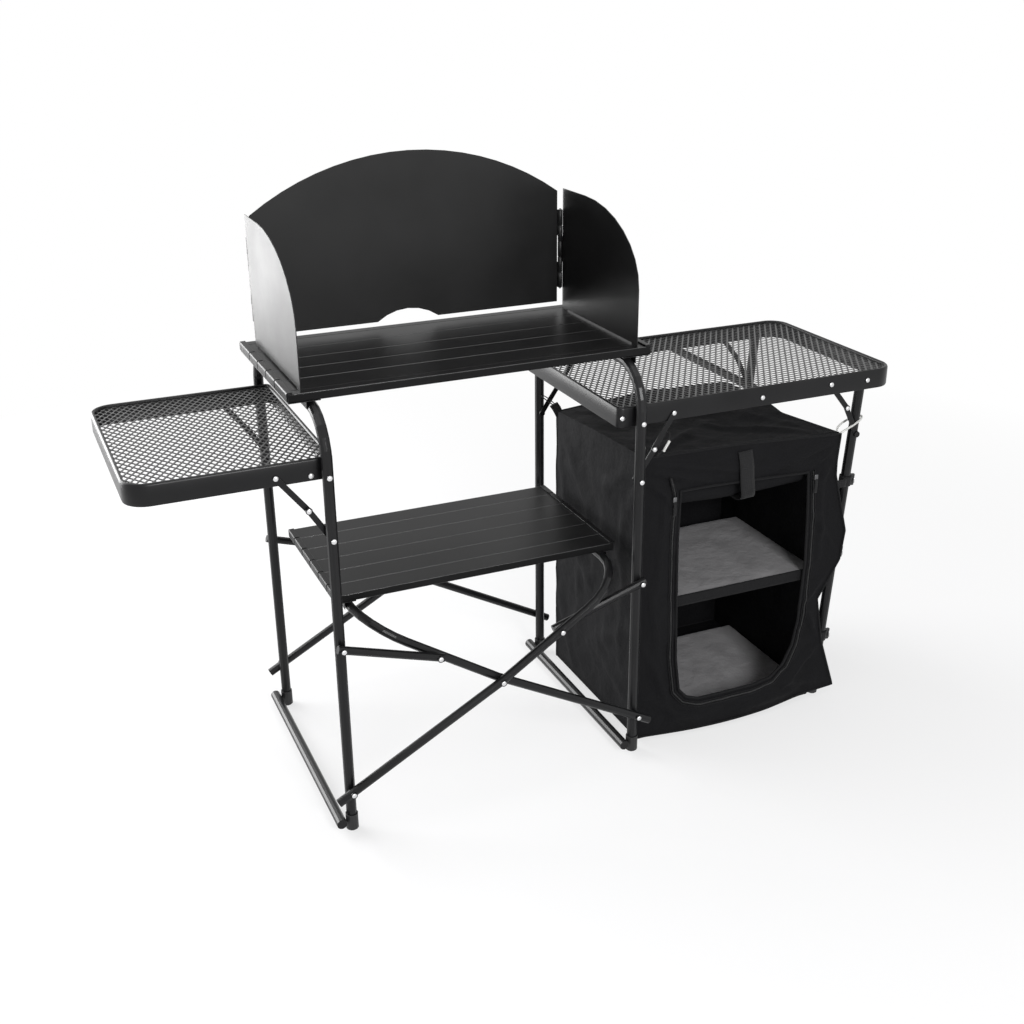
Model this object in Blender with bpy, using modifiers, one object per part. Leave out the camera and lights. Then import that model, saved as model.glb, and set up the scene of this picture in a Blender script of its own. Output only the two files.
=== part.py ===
"""Folding camp kitchen table.

Two tube end frames stand on floor bars and are joined by a scissor of two U-shaped tubes. They carry
a slatted top with a folding windscreen, a slatted lower shelf, a mesh side table at each end and a
fabric cabinet under the right side table, whose outer end has its own folding leg.
Metres, +Z up, ground at z = 0, front towards -Y. The sizes below count x from the middle between the
two end frames; the whole table is then shifted so that its own middle is at x = 0.
"""

import math

import bmesh
import bpy
from mathutils import Euler, Matrix, Vector

# Fits
CLEARANCE = 0.0003
WELD = 0.000001
SHANK_RADIUS = 0.0025
SHANK_CLEARANCE = 0.0004
HEAD_RADIUS = 0.006
HEAD_HEIGHT = 0.002

# Whole table
TABLE_HEIGHT = 0.800
BOARD_THICKNESS = 0.017
FRAME_SPACING = 0.574
FRAME_DEPTH = 0.463

# Tubes
LEG_RADIUS = 0.0095
ARM_RADIUS = 0.008
LINK_RADIUS = 0.0075
LEG_BEND = 0.075
ARM_BEND = 0.090

# Feet and floor bars
FOOT_RADIUS = 0.0115
FOOT_HEIGHT = 0.032
FOOT_SOLE = 0.0037
FOOT_CHAMFER = 0.002
FLOOR_BAR_HEIGHT = 0.020

# Scissor, heights above the ground
SCISSOR_PIVOT = 0.085
SCISSOR_CENTRE = 0.241
SCISSOR_TAIL = 0.030
SHELF_CREST_INSET = 0.042
SHELF_CREST = 0.400
LINK_LEG_PIVOT = 0.370
LINK_ARM_DISTANCE = 0.139
LINK_TAIL = 0.009

# Slatted boards
TOP_OVERHANG = 0.040
TOP_SLATS = (-0.170, -0.090, -0.030, 0.030, 0.090, 0.170)
TOP_GROOVE_INSET = 0.020
SHELF_OVERHANG = 0.025
SHELF_SLATS = (-0.157, -0.110, -0.055, 0.0, 0.055, 0.110, 0.157)
SLAT_GAP = 0.0006
SLAT_CHAMFER = 0.0012
GROOVE_WIDTH = 0.002
GROOVE_DEPTH = 0.001
RAIL_SHEET = 0.0012
RAIL_LIP = 0.008
RAIL_SEAT = 0.004
HOOK_DROP = 0.012

# Side tables
TABLE_PIVOT_DROP = 0.124
LEFT_INNER_OVERLAP = 0.017
LEFT_REACH = 0.313
RIGHT_INNER_OVERLAP = 0.037
RIGHT_REACH = 0.565
RIM_RISE = 0.027
RIM_HEIGHT = 0.038
RIM_WALL = 0.003
RIM_FLANGE = 0.014
RIM_FLANGE_THICKNESS = 0.004
RIM_OUTER_CORNER = 0.040
RIM_INNER_CORNER = 0.012
MESH_THICKNESS = 0.002
MESH_PITCH_X = 0.070
MESH_PITCH_Y = 0.050
MESH_STRAND = 0.005
MESH_BORDER = 0.006
CROSSBAR_REACH = 0.262
CROSSBAR_WIDTH = 0.012
CROSSBAR_HEIGHT = 0.010

# Elbow braces of flat bar: distances from the leg axis and from the side tables' pivot
BRACE_WIDTH = 0.010
BRACE_THICKNESS = 0.002
BRACE_HEAD_ROOM = 0.0013
BRACE_FOOT_DROP = 0.110
BRACE_TOP_RISE = 0.003
BRACE_ELBOW_DROP = 0.059
LEFT_BRACE_REACH = 0.080
LEFT_ELBOW_REACH = 0.032
RIGHT_BRACE_REACH = 0.075
RIGHT_ELBOW_REACH = 0.035

# Outer leg of the right side table
OUTER_PIVOT_REACH = 0.498
OUTER_PIVOT_RISE = 0.008
OUTER_FOOT_REACH = 0.448
OUTER_LEG_END = 0.0075
OUTER_CROSS_DISTANCE = 0.430
OUTER_BRACE_REACH = 0.415
OUTER_BRACE_RISE = 0.010
OUTER_ELBOW_REACH = 0.460
OUTER_ELBOW_DROP = 0.044
OUTER_BRACE_FOOT_DISTANCE = 0.1106
TIE_HEIGHTS = (0.475, 0.320, 0.135)
TIE_WIDTH = 0.020

# Windscreen
SHEET = 0.0015
HINGE_INSET = 0.027
HINGE_Y = 0.1465
HINGE_GAP = 0.0006
KNUCKLE_RADIUS = 0.0042
KNUCKLE_BORE = 0.0023
HINGE_PIN_RADIUS = 0.002
KNUCKLE_RISE = 0.040
KNUCKLES_LENGTH = 0.150
BACK_GAP = 0.012
BACK_SIDE_HEIGHT = 0.213
BACK_HEIGHT = 0.306
BACK_NOTCH_LEFT = -0.072
BACK_NOTCH_RIGHT = 0.047
BACK_NOTCH_HEIGHT = 0.020
WING_FRONT = 0.163
WING_FRONT_HEIGHT = 0.100
WING_HEIGHT = 0.230
WING_TOP_FRONT = 0.050
WING_FOOT_LENGTH = 0.020
WING_FOOT_RELIEF = 0.003

# Cabinet
CABINET_WALL = 0.004
CABINET_LEFT_REACH = 0.018
CABINET_RIGHT_REACH = 0.425
CABINET_BOTTOM = 0.008
CABINET_DROP = 0.076
CABINET_TOP_SAG = 0.016
CABINET_REAR = 0.170
EDGE_REACHES = ((0.485, 0.014), (0.445, 0.133), (0.427, 0.232), (0.473, 0.312), (0.481, 0.374))
EDGE_TOP_REACH = 0.443
EDGE_TOP_DROP = 0.100
DOOR_LEFT_REACH = 0.097
DOOR_RIGHT_REACH = 0.383
DOOR_BOTTOM = 0.070
DOOR_DROP = 0.078
DOOR_CORNER = 0.060
CABINET_SHELF = 0.295
CABINET_SHELF_DEPTH = 0.292
STRAP_REACH = 0.233
STRAP_WIDTH = 0.030
STRAP_DROP = 0.018
STRAP_LENGTH = 0.098
STRAP_THICKNESS = 0.002

ROD_SIDES = 12
SMALL_ROD_SIDES = 10
SHANK_SIDES = 8
BEND_STEPS = 6
CORNER_STEPS = 4

LEFT = -1
RIGHT = 1
FRONT = -1
REAR = 1
SIDE_NAMES = {LEFT: "left", RIGHT: "right"}
DEPTH_NAMES = {FRONT: "front", REAR: "rear"}

# Places that follow from the sizes
FRAME_X = FRAME_SPACING / 2
TABLE_PIVOT = TABLE_HEIGHT - TABLE_PIVOT_DROP
RIM_TOP = TABLE_PIVOT + RIM_RISE
BRACE_FOOT = TABLE_PIVOT - BRACE_FOOT_DROP
BRACE_TOP = TABLE_PIVOT + BRACE_TOP_RISE
BRACE_ELBOW = TABLE_PIVOT - BRACE_ELBOW_DROP
OUTER_PIVOT = TABLE_PIVOT + OUTER_PIVOT_RISE
OUTER_BRACE = TABLE_PIVOT + OUTER_BRACE_RISE
OUTER_ELBOW = TABLE_PIVOT - OUTER_ELBOW_DROP
KNUCKLE_BOTTOM = TABLE_HEIGHT + KNUCKLE_RISE
KNUCKLE_TOP = KNUCKLE_BOTTOM + KNUCKLES_LENGTH
BACK_BOTTOM = TABLE_HEIGHT + BACK_GAP
BACK_CORNER = BACK_BOTTOM + BACK_SIDE_HEIGHT
BACK_CREST = BACK_BOTTOM + BACK_HEIGHT
BACK_NOTCH_TOP = BACK_BOTTOM + BACK_NOTCH_HEIGHT
WING_FRONT_TOP = TABLE_HEIGHT + WING_FRONT_HEIGHT
WING_TOP = TABLE_HEIGHT + WING_HEIGHT
CABINET_TOP = TABLE_PIVOT - CABINET_DROP
DOOR_TOP = CABINET_TOP - DOOR_DROP
STRAP_TOP = CABINET_TOP - STRAP_DROP
STRAP_BOTTOM = STRAP_TOP - STRAP_LENGTH
SHELF_CREST_X = FRAME_X - SHELF_CREST_INSET
LEFT_INNER = FRAME_X - LEFT_INNER_OVERLAP
LEFT_OUTER = FRAME_X + LEFT_REACH
RIGHT_INNER = FRAME_X - RIGHT_INNER_OVERLAP
RIGHT_OUTER = FRAME_X + RIGHT_REACH
CROSSBAR_X = FRAME_X + CROSSBAR_REACH
OUTER_PIVOT_X = FRAME_X + OUTER_PIVOT_REACH
OUTER_FOOT_X = FRAME_X + OUTER_FOOT_REACH
OUTER_BRACE_X = FRAME_X + OUTER_BRACE_REACH
OUTER_ELBOW_X = FRAME_X + OUTER_ELBOW_REACH
CABINET_LEFT = FRAME_X + CABINET_LEFT_REACH
CABINET_RIGHT = FRAME_X + CABINET_RIGHT_REACH
DOOR_LEFT = FRAME_X + DOOR_LEFT_REACH
DOOR_RIGHT = FRAME_X + DOOR_RIGHT_REACH
STRAP_X = FRAME_X + STRAP_REACH
TOP_LENGTH = FRAME_SPACING + 2 * TOP_OVERHANG
SHELF_LENGTH = 2 * (SHELF_CREST_X + SHELF_OVERHANG)
HINGE_X = TOP_LENGTH / 2 - HINGE_INSET
CABINET_EDGE = tuple((FRAME_X + reach, height) for reach, height in EDGE_REACHES)
CABINET_EDGE_TOP = (FRAME_X + EDGE_TOP_REACH, CABINET_TOP - EDGE_TOP_DROP)
ORIGIN_SHIFT = (LEFT_OUTER - RIGHT_OUTER) / 2
LEG_Y = {LEFT: FRAME_DEPTH / 2, RIGHT: FRAME_DEPTH / 2 - 2 * ARM_RADIUS - CLEARANCE}
ARM_Y = {side: LEG_Y[side] + LEG_RADIUS + CLEARANCE + ARM_RADIUS for side in (LEFT, RIGHT)}
CREST = TABLE_HEIGHT - BOARD_THICKNESS - CLEARANCE - LEG_RADIUS
LINK_Y = {
    LEFT: LEG_Y[LEFT] + LEG_RADIUS + CLEARANCE + LINK_RADIUS,
    RIGHT: (LEG_Y[RIGHT] + LEG_RADIUS + ARM_Y[LEFT] - ARM_RADIUS) / 2,
}
HOLE_RADIUS = SHANK_RADIUS + SHANK_CLEARANCE
RIM_BOTTOM = RIM_TOP - RIM_HEIGHT
MESH_TOP = RIM_TOP - RIM_FLANGE_THICKNESS - CLEARANCE
MESH_BOTTOM = MESH_TOP - MESH_THICKNESS


def brace_planes(face, inward, spacer=CLEARANCE):
    """Y places of a brace pair beside a face: lower link, spacer, upper link and then the rail."""
    lower_near = face - inward * BRACE_HEAD_ROOM
    lower_far = lower_near - inward * BRACE_THICKNESS
    upper_near = lower_far - inward * spacer
    upper_far = upper_near - inward * BRACE_THICKNESS
    return {
        "lower_near": lower_near,
        "lower_far": lower_far,
        "upper_near": upper_near,
        "upper_far": upper_far,
        "rail": upper_far - inward * CLEARANCE,
    }


PAST_HEAD = HEAD_HEIGHT + 2 * CLEARANCE
BRACES = {
    LEFT: brace_planes(LEG_Y[LEFT] - LEG_RADIUS, 1, PAST_HEAD),
    RIGHT: brace_planes(LEG_Y[RIGHT] - LEG_RADIUS, 1),
}
RAIL_Y = {side: BRACES[side]["rail"] for side in (LEFT, RIGHT)}
OUTER_STACK = 2 * BRACE_THICKNESS + 2 * CLEARANCE + BRACE_HEAD_ROOM
OUTER_LEG_Y = RAIL_Y[RIGHT] - RIM_WALL - OUTER_STACK - LEG_RADIUS
OUTER_BRACES = brace_planes(OUTER_LEG_Y + LEG_RADIUS, -1)
OUTER_TILT = math.atan2(OUTER_PIVOT_X - OUTER_FOOT_X, OUTER_PIVOT)
OUTER_FOOT = Vector((OUTER_FOOT_X, 0, FOOT_RADIUS * math.sin(OUTER_TILT)))
OUTER_DOWN = Vector((-math.sin(OUTER_TILT), 0, -math.cos(OUTER_TILT)))
CABINET_FRONT = -RAIL_Y[RIGHT]
SHEET_OFFSET = KNUCKLE_RADIUS - SHEET / 4
TOP_UNDERSIDE = TABLE_HEIGHT - BOARD_THICKNESS
SLAT_TOP = TABLE_HEIGHT - RAIL_SHEET - CLEARANCE

PLANES = {
    "flat": Matrix(((1, 0, 0), (0, 1, 0), (0, 0, 1))),
    "front": Matrix(((1, 0, 0), (0, 0, -1), (0, 1, 0))),
    "side": Matrix(((0, 0, 1), (1, 0, 0), (0, 1, 0))),
}
NORMALS = {"flat": Vector((0, 0, 1)), "front": Vector((0, 1, 0)), "side": Vector((1, 0, 0))}

for item in list(bpy.context.scene.objects):
    bpy.data.objects.remove(item, do_unlink=True)

PARTS = bpy.data.collections.new("folding_camp_table")
CUTTERS = bpy.data.collections.new("cutters_and_rivets")
for collection in (PARTS, CUTTERS):
    bpy.context.scene.collection.children.link(collection)


def material(name, colour, roughness, metallic=0.0):
    made = bpy.data.materials.new(name)
    made.use_nodes = True
    shader = made.node_tree.nodes["Principled BSDF"]
    shader.inputs["Base Color"].default_value = (*colour, 1.0)
    shader.inputs["Roughness"].default_value = roughness
    shader.inputs["Metallic"].default_value = metallic
    return made


POWDER_COAT = material("black_powder_coat", (0.020, 0.020, 0.022), 0.45)
BLACK_PLASTIC = material("black_plastic", (0.014, 0.014, 0.015), 0.55)
BLACK_FABRIC = material("black_fabric", (0.012, 0.012, 0.013), 0.85)
PIN_STEEL = material("pin_steel", (0.55, 0.55, 0.56), 0.35, 1.0)

AXES = {}


def body(name, parent, pivot):
    """An empty on the axis about which a body turns, or on its slide."""
    empty = bpy.data.objects.new(name + "_axis", None)
    empty.empty_display_size = 0.05
    empty.location = pivot
    if parent:
        empty.parent = AXES[parent][1]
        empty.location = Vector(pivot) - AXES[parent][0]
    PARTS.objects.link(empty)
    AXES[name] = (Vector(pivot), empty)


def finish(piece, body_name, look, smooth=False, at=(0, 0, 0), turn=0.0):
    """Hangs a piece, modelled in the table's frame or placed at a point, on its body's axis."""
    pivot, empty = AXES[body_name]
    piece.parent = empty
    piece.location = Vector(at) - pivot
    piece.rotation_euler = Euler((0, turn, 0))
    piece.data.materials.clear()
    piece.data.materials.append(look)
    if smooth:
        piece.data.shade_smooth()
        piece.data.set_sharp_from_angle(angle=math.radians(40))
    PARTS.objects.link(piece)
    return piece


def combine(piece, tool, operation):
    tool.parent = piece
    tool.hide_render = True
    tool.display_type = "WIRE"
    CUTTERS.objects.link(tool)
    step = piece.modifiers.new(tool.name, "BOOLEAN")
    step.operation = operation
    step.solver = "EXACT"
    step.object = tool


def mesh_from_curve(name, curve):
    holder = bpy.data.objects.new(name, curve)
    bpy.context.scene.collection.objects.link(holder)
    graph = bpy.context.evaluated_depsgraph_get()
    mesh = bpy.data.meshes.new_from_object(holder.evaluated_get(graph))
    bpy.data.objects.remove(holder, do_unlink=True)
    bpy.data.curves.remove(curve)
    edit = bmesh.new()
    edit.from_mesh(mesh)
    bmesh.ops.remove_doubles(edit, verts=edit.verts, dist=WELD)
    edit.to_mesh(mesh)
    edit.free()
    mesh.name = name
    return bpy.data.objects.new(name, mesh)


def add_spline(curve, points, closed):
    spline = curve.splines.new("POLY")
    spline.points.add(len(points) - 1)
    for place, point in zip(spline.points, points):
        place.co = (*point, 1.0)
    spline.use_cyclic_u = closed


def tube(name, points, radius, sides=ROD_SIDES):
    curve = bpy.data.curves.new(name, "CURVE")
    curve.dimensions = "3D"
    curve.bevel_depth = radius
    curve.bevel_resolution = (sides - 4) // 2
    curve.use_fill_caps = True
    add_spline(curve, points, closed=False)
    return mesh_from_curve(name, curve)


def plate(name, loops, plane, low, high):
    """A flat outline with holes, solid between two places along the plane's normal."""
    curve = bpy.data.curves.new(name, "CURVE")
    curve.dimensions = "2D"
    curve.fill_mode = "BOTH"
    curve.extrude = (high - low) / 2
    for loop in loops:
        add_spline(curve, [(point[0], point[1], 0) for point in loop], closed=True)
    made = mesh_from_curve(name, curve)
    shift = Matrix.Translation(NORMALS[plane] * (low + high) / 2)
    made.data.transform(shift @ PLANES[plane].to_4x4())
    return made


def rods(name, ends_and_radii, sides=ROD_SIDES):
    """One mesh of separate round rods, each given by its two ends and its radius."""
    edit = bmesh.new()
    for start, end, radius in ends_and_radii:
        span = Vector(end) - Vector(start)
        turn = span.to_track_quat("Z", "Y").to_matrix().to_4x4()
        middle = Matrix.Translation((Vector(start) + Vector(end)) / 2)
        bmesh.ops.create_cone(
            edit, cap_ends=True, segments=sides, radius1=radius, radius2=radius,
            depth=span.length, matrix=middle @ turn,
        )
    mesh = bpy.data.meshes.new(name)
    edit.to_mesh(mesh)
    edit.free()
    return bpy.data.objects.new(name, mesh)


def box(name, low, high):
    edit = bmesh.new()
    size = Vector(high) - Vector(low)
    middle = (Vector(low) + Vector(high)) / 2
    place = Matrix.Translation(middle) @ Matrix.Diagonal((*size, 1))
    bmesh.ops.create_cube(edit, size=1.0, matrix=place)
    mesh = bpy.data.meshes.new(name)
    edit.to_mesh(mesh)
    edit.free()
    return bpy.data.objects.new(name, mesh)


def turned(name, profile, closed=False, steps=ROD_SIDES):
    """A solid of revolution round Z from a profile of radius and height."""
    mesh = bpy.data.meshes.new(name)
    edges = [(index, index + 1) for index in range(len(profile) - 1)]
    if closed:
        edges.append((len(profile) - 1, 0))
    mesh.from_pydata([(radius, 0, height) for radius, height in profile], edges, [])
    made = bpy.data.objects.new(name, mesh)
    screw = made.modifiers.new("turn", "SCREW")
    screw.steps = steps
    screw.render_steps = steps
    screw.use_merge_vertices = True
    screw.merge_threshold = WELD
    return made


def rounded_path(points, radii, steps):
    """The way through the points with each inner corner replaced by an arc."""
    points = [Vector(point).to_3d() for point in points]
    path = [points[0]]
    for before, corner, after, radius in zip(points, points[1:], points[2:], radii):
        into = (corner - before).normalized()
        out = (after - corner).normalized()
        if radius == 0:
            path.append(corner)
            continue
        angle = into.angle(out)
        start = corner - into * radius * math.tan(angle / 2)
        centre = start + (out - into * into.dot(out)).normalized() * radius
        axis = into.cross(out).normalized()
        for step in range(steps + 1):
            turn = Matrix.Rotation(angle * step / steps, 3, axis)
            path.append(centre + turn @ (start - centre))
    path.append(points[-1])
    return path


def rounded_loop(points, radii, steps=CORNER_STEPS):
    points = [Vector(point).to_3d() for point in points]
    first = (points[0] + points[-1]) / 2
    return rounded_path([first, *points, first], radii, steps)[1:-1]


def ring(x, z, radius, steps=SHANK_SIDES):
    angles = [2 * math.pi * step / steps for step in range(steps)]
    return [(x + radius * math.cos(angle), z + radius * math.sin(angle)) for angle in angles]


def rivet(x, z, start, face, height=HEAD_HEIGHT):
    """A shank from its host out through a guest whose far face lies at face, and its head."""
    way = 1 if face > start else -1
    seat = face + way * CLEARANCE
    shank = ((x, start, z), (x, seat + way * height / 2, z), SHANK_RADIUS)
    head = ((x, seat, z), (x, seat + way * height, z), HEAD_RADIUS)
    return shank, head


def add_rivets(piece, rivets):
    combine(piece, rods(piece.name + "_shanks", [r[0] for r in rivets], SHANK_SIDES), "UNION")
    combine(piece, rods(piece.name + "_heads", [r[1] for r in rivets]), "UNION")


def add_heads(piece, heads):
    combine(piece, rods(piece.name + "_closed_heads", heads), "UNION")


def cut_holes(piece, places):
    """Round holes along Y, each given by x, z and the two ends."""
    holes = [((x, start, z), (x, end, z), HOLE_RADIUS) for x, z, start, end in places]
    combine(piece, rods(piece.name + "_holes", holes, SHANK_SIDES), "DIFFERENCE")


def crest_point(side):
    return Vector((side * SHELF_CREST_X, 0, SHELF_CREST))


def arm_link_point(side):
    """Where a link meets the upper part of the arm that leans to its side."""
    centre = Vector((0, 0, SCISSOR_CENTRE))
    return centre + (crest_point(side) - centre).normalized() * LINK_ARM_DISTANCE


def brace_points(side):
    reach = LEFT_BRACE_REACH if side == LEFT else RIGHT_BRACE_REACH
    elbow = LEFT_ELBOW_REACH if side == LEFT else RIGHT_ELBOW_REACH
    top = Vector((side * (FRAME_X + reach), 0, BRACE_TOP))
    middle = Vector((side * (FRAME_X + elbow), 0, BRACE_ELBOW))
    return top, middle, Vector((side * FRAME_X, 0, BRACE_FOOT))


def outer_brace_points():
    pivot = Vector((OUTER_PIVOT_X, 0, OUTER_PIVOT))
    foot = pivot + OUTER_DOWN * OUTER_BRACE_FOOT_DISTANCE
    return Vector((OUTER_BRACE_X, 0, OUTER_BRACE)), Vector((OUTER_ELBOW_X, 0, OUTER_ELBOW)), foot


def make_bodies():
    left_axis = (-FRAME_X, 0, TABLE_PIVOT)
    right_axis = (FRAME_X, 0, TABLE_PIVOT)
    left_top, _, left_foot = brace_points(LEFT)
    right_top, _, right_foot = brace_points(RIGHT)
    outer_top, _, outer_foot = outer_brace_points()
    body("left_frame", None, (0, 0, 0))
    AXES["left_frame"][1].location.x = ORIGIN_SHIFT
    body("outer_scissor", "left_frame", (-FRAME_X, 0, SCISSOR_PIVOT))
    body("inner_scissor", "outer_scissor", (0, 0, SCISSOR_CENTRE))
    body("right_frame", "inner_scissor", (FRAME_X, 0, SCISSOR_PIVOT))
    body("lower_shelf", "inner_scissor", crest_point(LEFT))
    body("left_links", "left_frame", (-FRAME_X, 0, LINK_LEG_PIVOT))
    body("right_links", "right_frame", (FRAME_X, 0, LINK_LEG_PIVOT))
    body("main_top", "left_frame", (0, 0, TOP_UNDERSIDE))
    body("windscreen", "main_top", (0, HINGE_Y, SLAT_TOP))
    body("left_wing", "windscreen", (-HINGE_X, HINGE_Y, SLAT_TOP))
    body("right_wing", "windscreen", (HINGE_X, HINGE_Y, SLAT_TOP))
    body("left_table", "left_frame", left_axis)
    body("left_upper_braces", "left_table", left_top)
    body("left_lower_braces", "left_frame", left_foot)
    body("right_table", "right_frame", right_axis)
    body("right_upper_braces", "right_table", right_top)
    body("right_lower_braces", "right_frame", right_foot)
    body("outer_leg", "right_table", (OUTER_PIVOT_X, 0, OUTER_PIVOT))
    body("outer_upper_braces", "right_table", outer_top)
    body("outer_lower_braces", "outer_leg", outer_foot)


def make_end_frame(side):
    """An inverted U of tube with the rivets that carry its arms, links, braces and table."""
    name = SIDE_NAMES[side] + "_end_frame"
    x = side * FRAME_X
    y = LEG_Y[side]
    end = FOOT_SOLE + CLEARANCE
    corners = [(x, -y, end), (x, -y, CREST), (x, y, CREST), (x, y, end)]
    frame = tube(name, rounded_path(corners, (LEG_BEND, LEG_BEND), BEND_STEPS), LEG_RADIUS)
    planes = BRACES[side]
    arm_face = ARM_Y[side] + ARM_RADIUS
    link_face = LINK_Y[side] + LINK_RADIUS
    rail_inside = RAIL_Y[side] - RIM_WALL
    rivets = []
    for row in (FRONT, REAR):
        axis = row * y
        rivets.append(rivet(x, SCISSOR_PIVOT, axis, row * arm_face))
        rivets.append(rivet(x, LINK_LEG_PIVOT, axis, row * link_face))
        rivets.append(rivet(x, BRACE_FOOT, axis, row * planes["lower_far"]))
        rivets.append(rivet(x, TABLE_PIVOT, axis, row * rail_inside))
    body_name = SIDE_NAMES[side] + "_frame"
    finish(frame, body_name, POWDER_COAT, smooth=True)
    add_rivets(frame, rivets)


def make_floor_bar(side):
    """A tube on the outer left of each pair of feet."""
    x = side * FRAME_X - FOOT_RADIUS - CLEARANCE - LEG_RADIUS
    y = LEG_Y[side] + FOOT_RADIUS
    name = SIDE_NAMES[side] + "_floor_bar"
    bar = rods(name, [((x, -y, FLOOR_BAR_HEIGHT), (x, y, FLOOR_BAR_HEIGHT), LEG_RADIUS)])
    finish(bar, SIDE_NAMES[side] + "_frame", POWDER_COAT, smooth=True)


def make_foot(name, body_name, at, turn=0.0):
    """A plastic cap with a blind socket for the tube."""
    socket = LEG_RADIUS + CLEARANCE
    profile = [
        (0, FOOT_SOLE),
        (socket, FOOT_SOLE),
        (socket, FOOT_HEIGHT),
        (FOOT_RADIUS, FOOT_HEIGHT),
        (FOOT_RADIUS, FOOT_CHAMFER),
        (FOOT_RADIUS - FOOT_CHAMFER, 0),
        (0, 0),
    ]
    finish(turned(name, profile), body_name, BLACK_PLASTIC, smooth=True, at=at, turn=turn)


def make_frame_feet(side):
    for row in (FRONT, REAR):
        name = f"{SIDE_NAMES[side]}_{DEPTH_NAMES[row]}_foot"
        make_foot(name, SIDE_NAMES[side] + "_frame", (side * FRAME_X, row * LEG_Y[side], 0))


def scissor_path(side):
    """From a tail below the leg pivot over the centre to the crest on the other side, and back."""
    y = ARM_Y[side]
    pivot = Vector((side * FRAME_X, 0, SCISSOR_PIVOT))
    centre = Vector((0, 0, SCISSOR_CENTRE))
    tail = pivot + (pivot - centre).normalized() * SCISSOR_TAIL
    crest = crest_point(-side)
    front = Vector((0, -y, 0))
    rear = Vector((0, y, 0))
    corners = [tail + front, centre + front, crest + front]
    corners += [crest + rear, centre + rear, tail + rear]
    return rounded_path(corners, (0, ARM_BEND, ARM_BEND, 0), BEND_STEPS)


def make_inner_scissor():
    """The U that turns on the right legs; its centre rivets carry the outer U."""
    arms = tube("inner_scissor_tube", scissor_path(RIGHT), ARM_RADIUS)
    y = ARM_Y[RIGHT]
    leg_holes = [
        (FRAME_X, SCISSOR_PIVOT, row * LEG_Y[RIGHT], row * (y + LEG_RADIUS)) for row in (FRONT, REAR)
    ]
    far = ARM_Y[LEFT] + ARM_RADIUS
    finish(arms, "inner_scissor", POWDER_COAT, smooth=True)
    cut_holes(arms, leg_holes)
    add_rivets(arms, [rivet(0, SCISSOR_CENTRE, row * y, row * far) for row in (FRONT, REAR)])


def make_outer_scissor():
    """The U that turns on the left legs, with the closed rivets of the right links."""
    arms = tube("outer_scissor_tube", scissor_path(LEFT), ARM_RADIUS)
    y = ARM_Y[LEFT]
    near = y - ARM_RADIUS - CLEARANCE / 2
    far = y + ARM_RADIUS
    holes = []
    for row in (FRONT, REAR):
        holes.append((-FRAME_X, SCISSOR_PIVOT, row * near, row * (far + CLEARANCE)))
        holes.append((0, SCISSOR_CENTRE, row * near, row * (far + CLEARANCE)))
    point = arm_link_point(RIGHT)
    heads = []
    for row in (FRONT, REAR):
        start = (point.x, row * y, point.z)
        heads.append((start, (point.x, row * (far + HEAD_HEIGHT), point.z), HEAD_RADIUS))
    finish(arms, "outer_scissor", POWDER_COAT, smooth=True)
    cut_holes(arms, holes)
    add_heads(arms, heads)


def make_links(side):
    """Short tubes from the legs to the upper arms; their arm ends are open pivots."""
    pivot = Vector((side * FRAME_X, 0, LINK_LEG_PIVOT))
    point = arm_link_point(side)
    along = (point - pivot).normalized() * LINK_TAIL
    for row in (FRONT, REAR):
        shift = Vector((0, row * LINK_Y[side], 0))
        name = f"{SIDE_NAMES[side]}_link_{DEPTH_NAMES[row]}"
        link = rods(name, [(pivot - along + shift, point + along + shift, LINK_RADIUS)], SMALL_ROD_SIDES)
        face = LINK_Y[side] + LINK_RADIUS
        finish(link, SIDE_NAMES[side] + "_links", POWDER_COAT, smooth=True)
        hole_end = row * (face + CLEARANCE)
        cut_holes(link, [(pivot.x, pivot.z, row * (LINK_Y[side] - LINK_RADIUS), hole_end)])
        if side == LEFT:
            end = (point.x, row * (face + HEAD_HEIGHT), point.z)
            add_heads(link, [(point + shift, end, HEAD_RADIUS)])


def slat_profile(low, high, bottom, top, groove):
    """The section of a slat in y and z, with a shallow groove along its top where one is given."""
    cut = SLAT_CHAMFER
    points = [(low + cut, bottom), (high - cut, bottom), (high, bottom + cut), (high, top - cut)]
    points.append((high - cut, top))
    if groove is not None:
        half = GROOVE_WIDTH / 2
        points += [(groove + half, top), (groove, top - GROOVE_DEPTH), (groove - half, top)]
    points += [(low + cut, top), (low, top - cut), (low, bottom + cut)]
    return points


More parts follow.
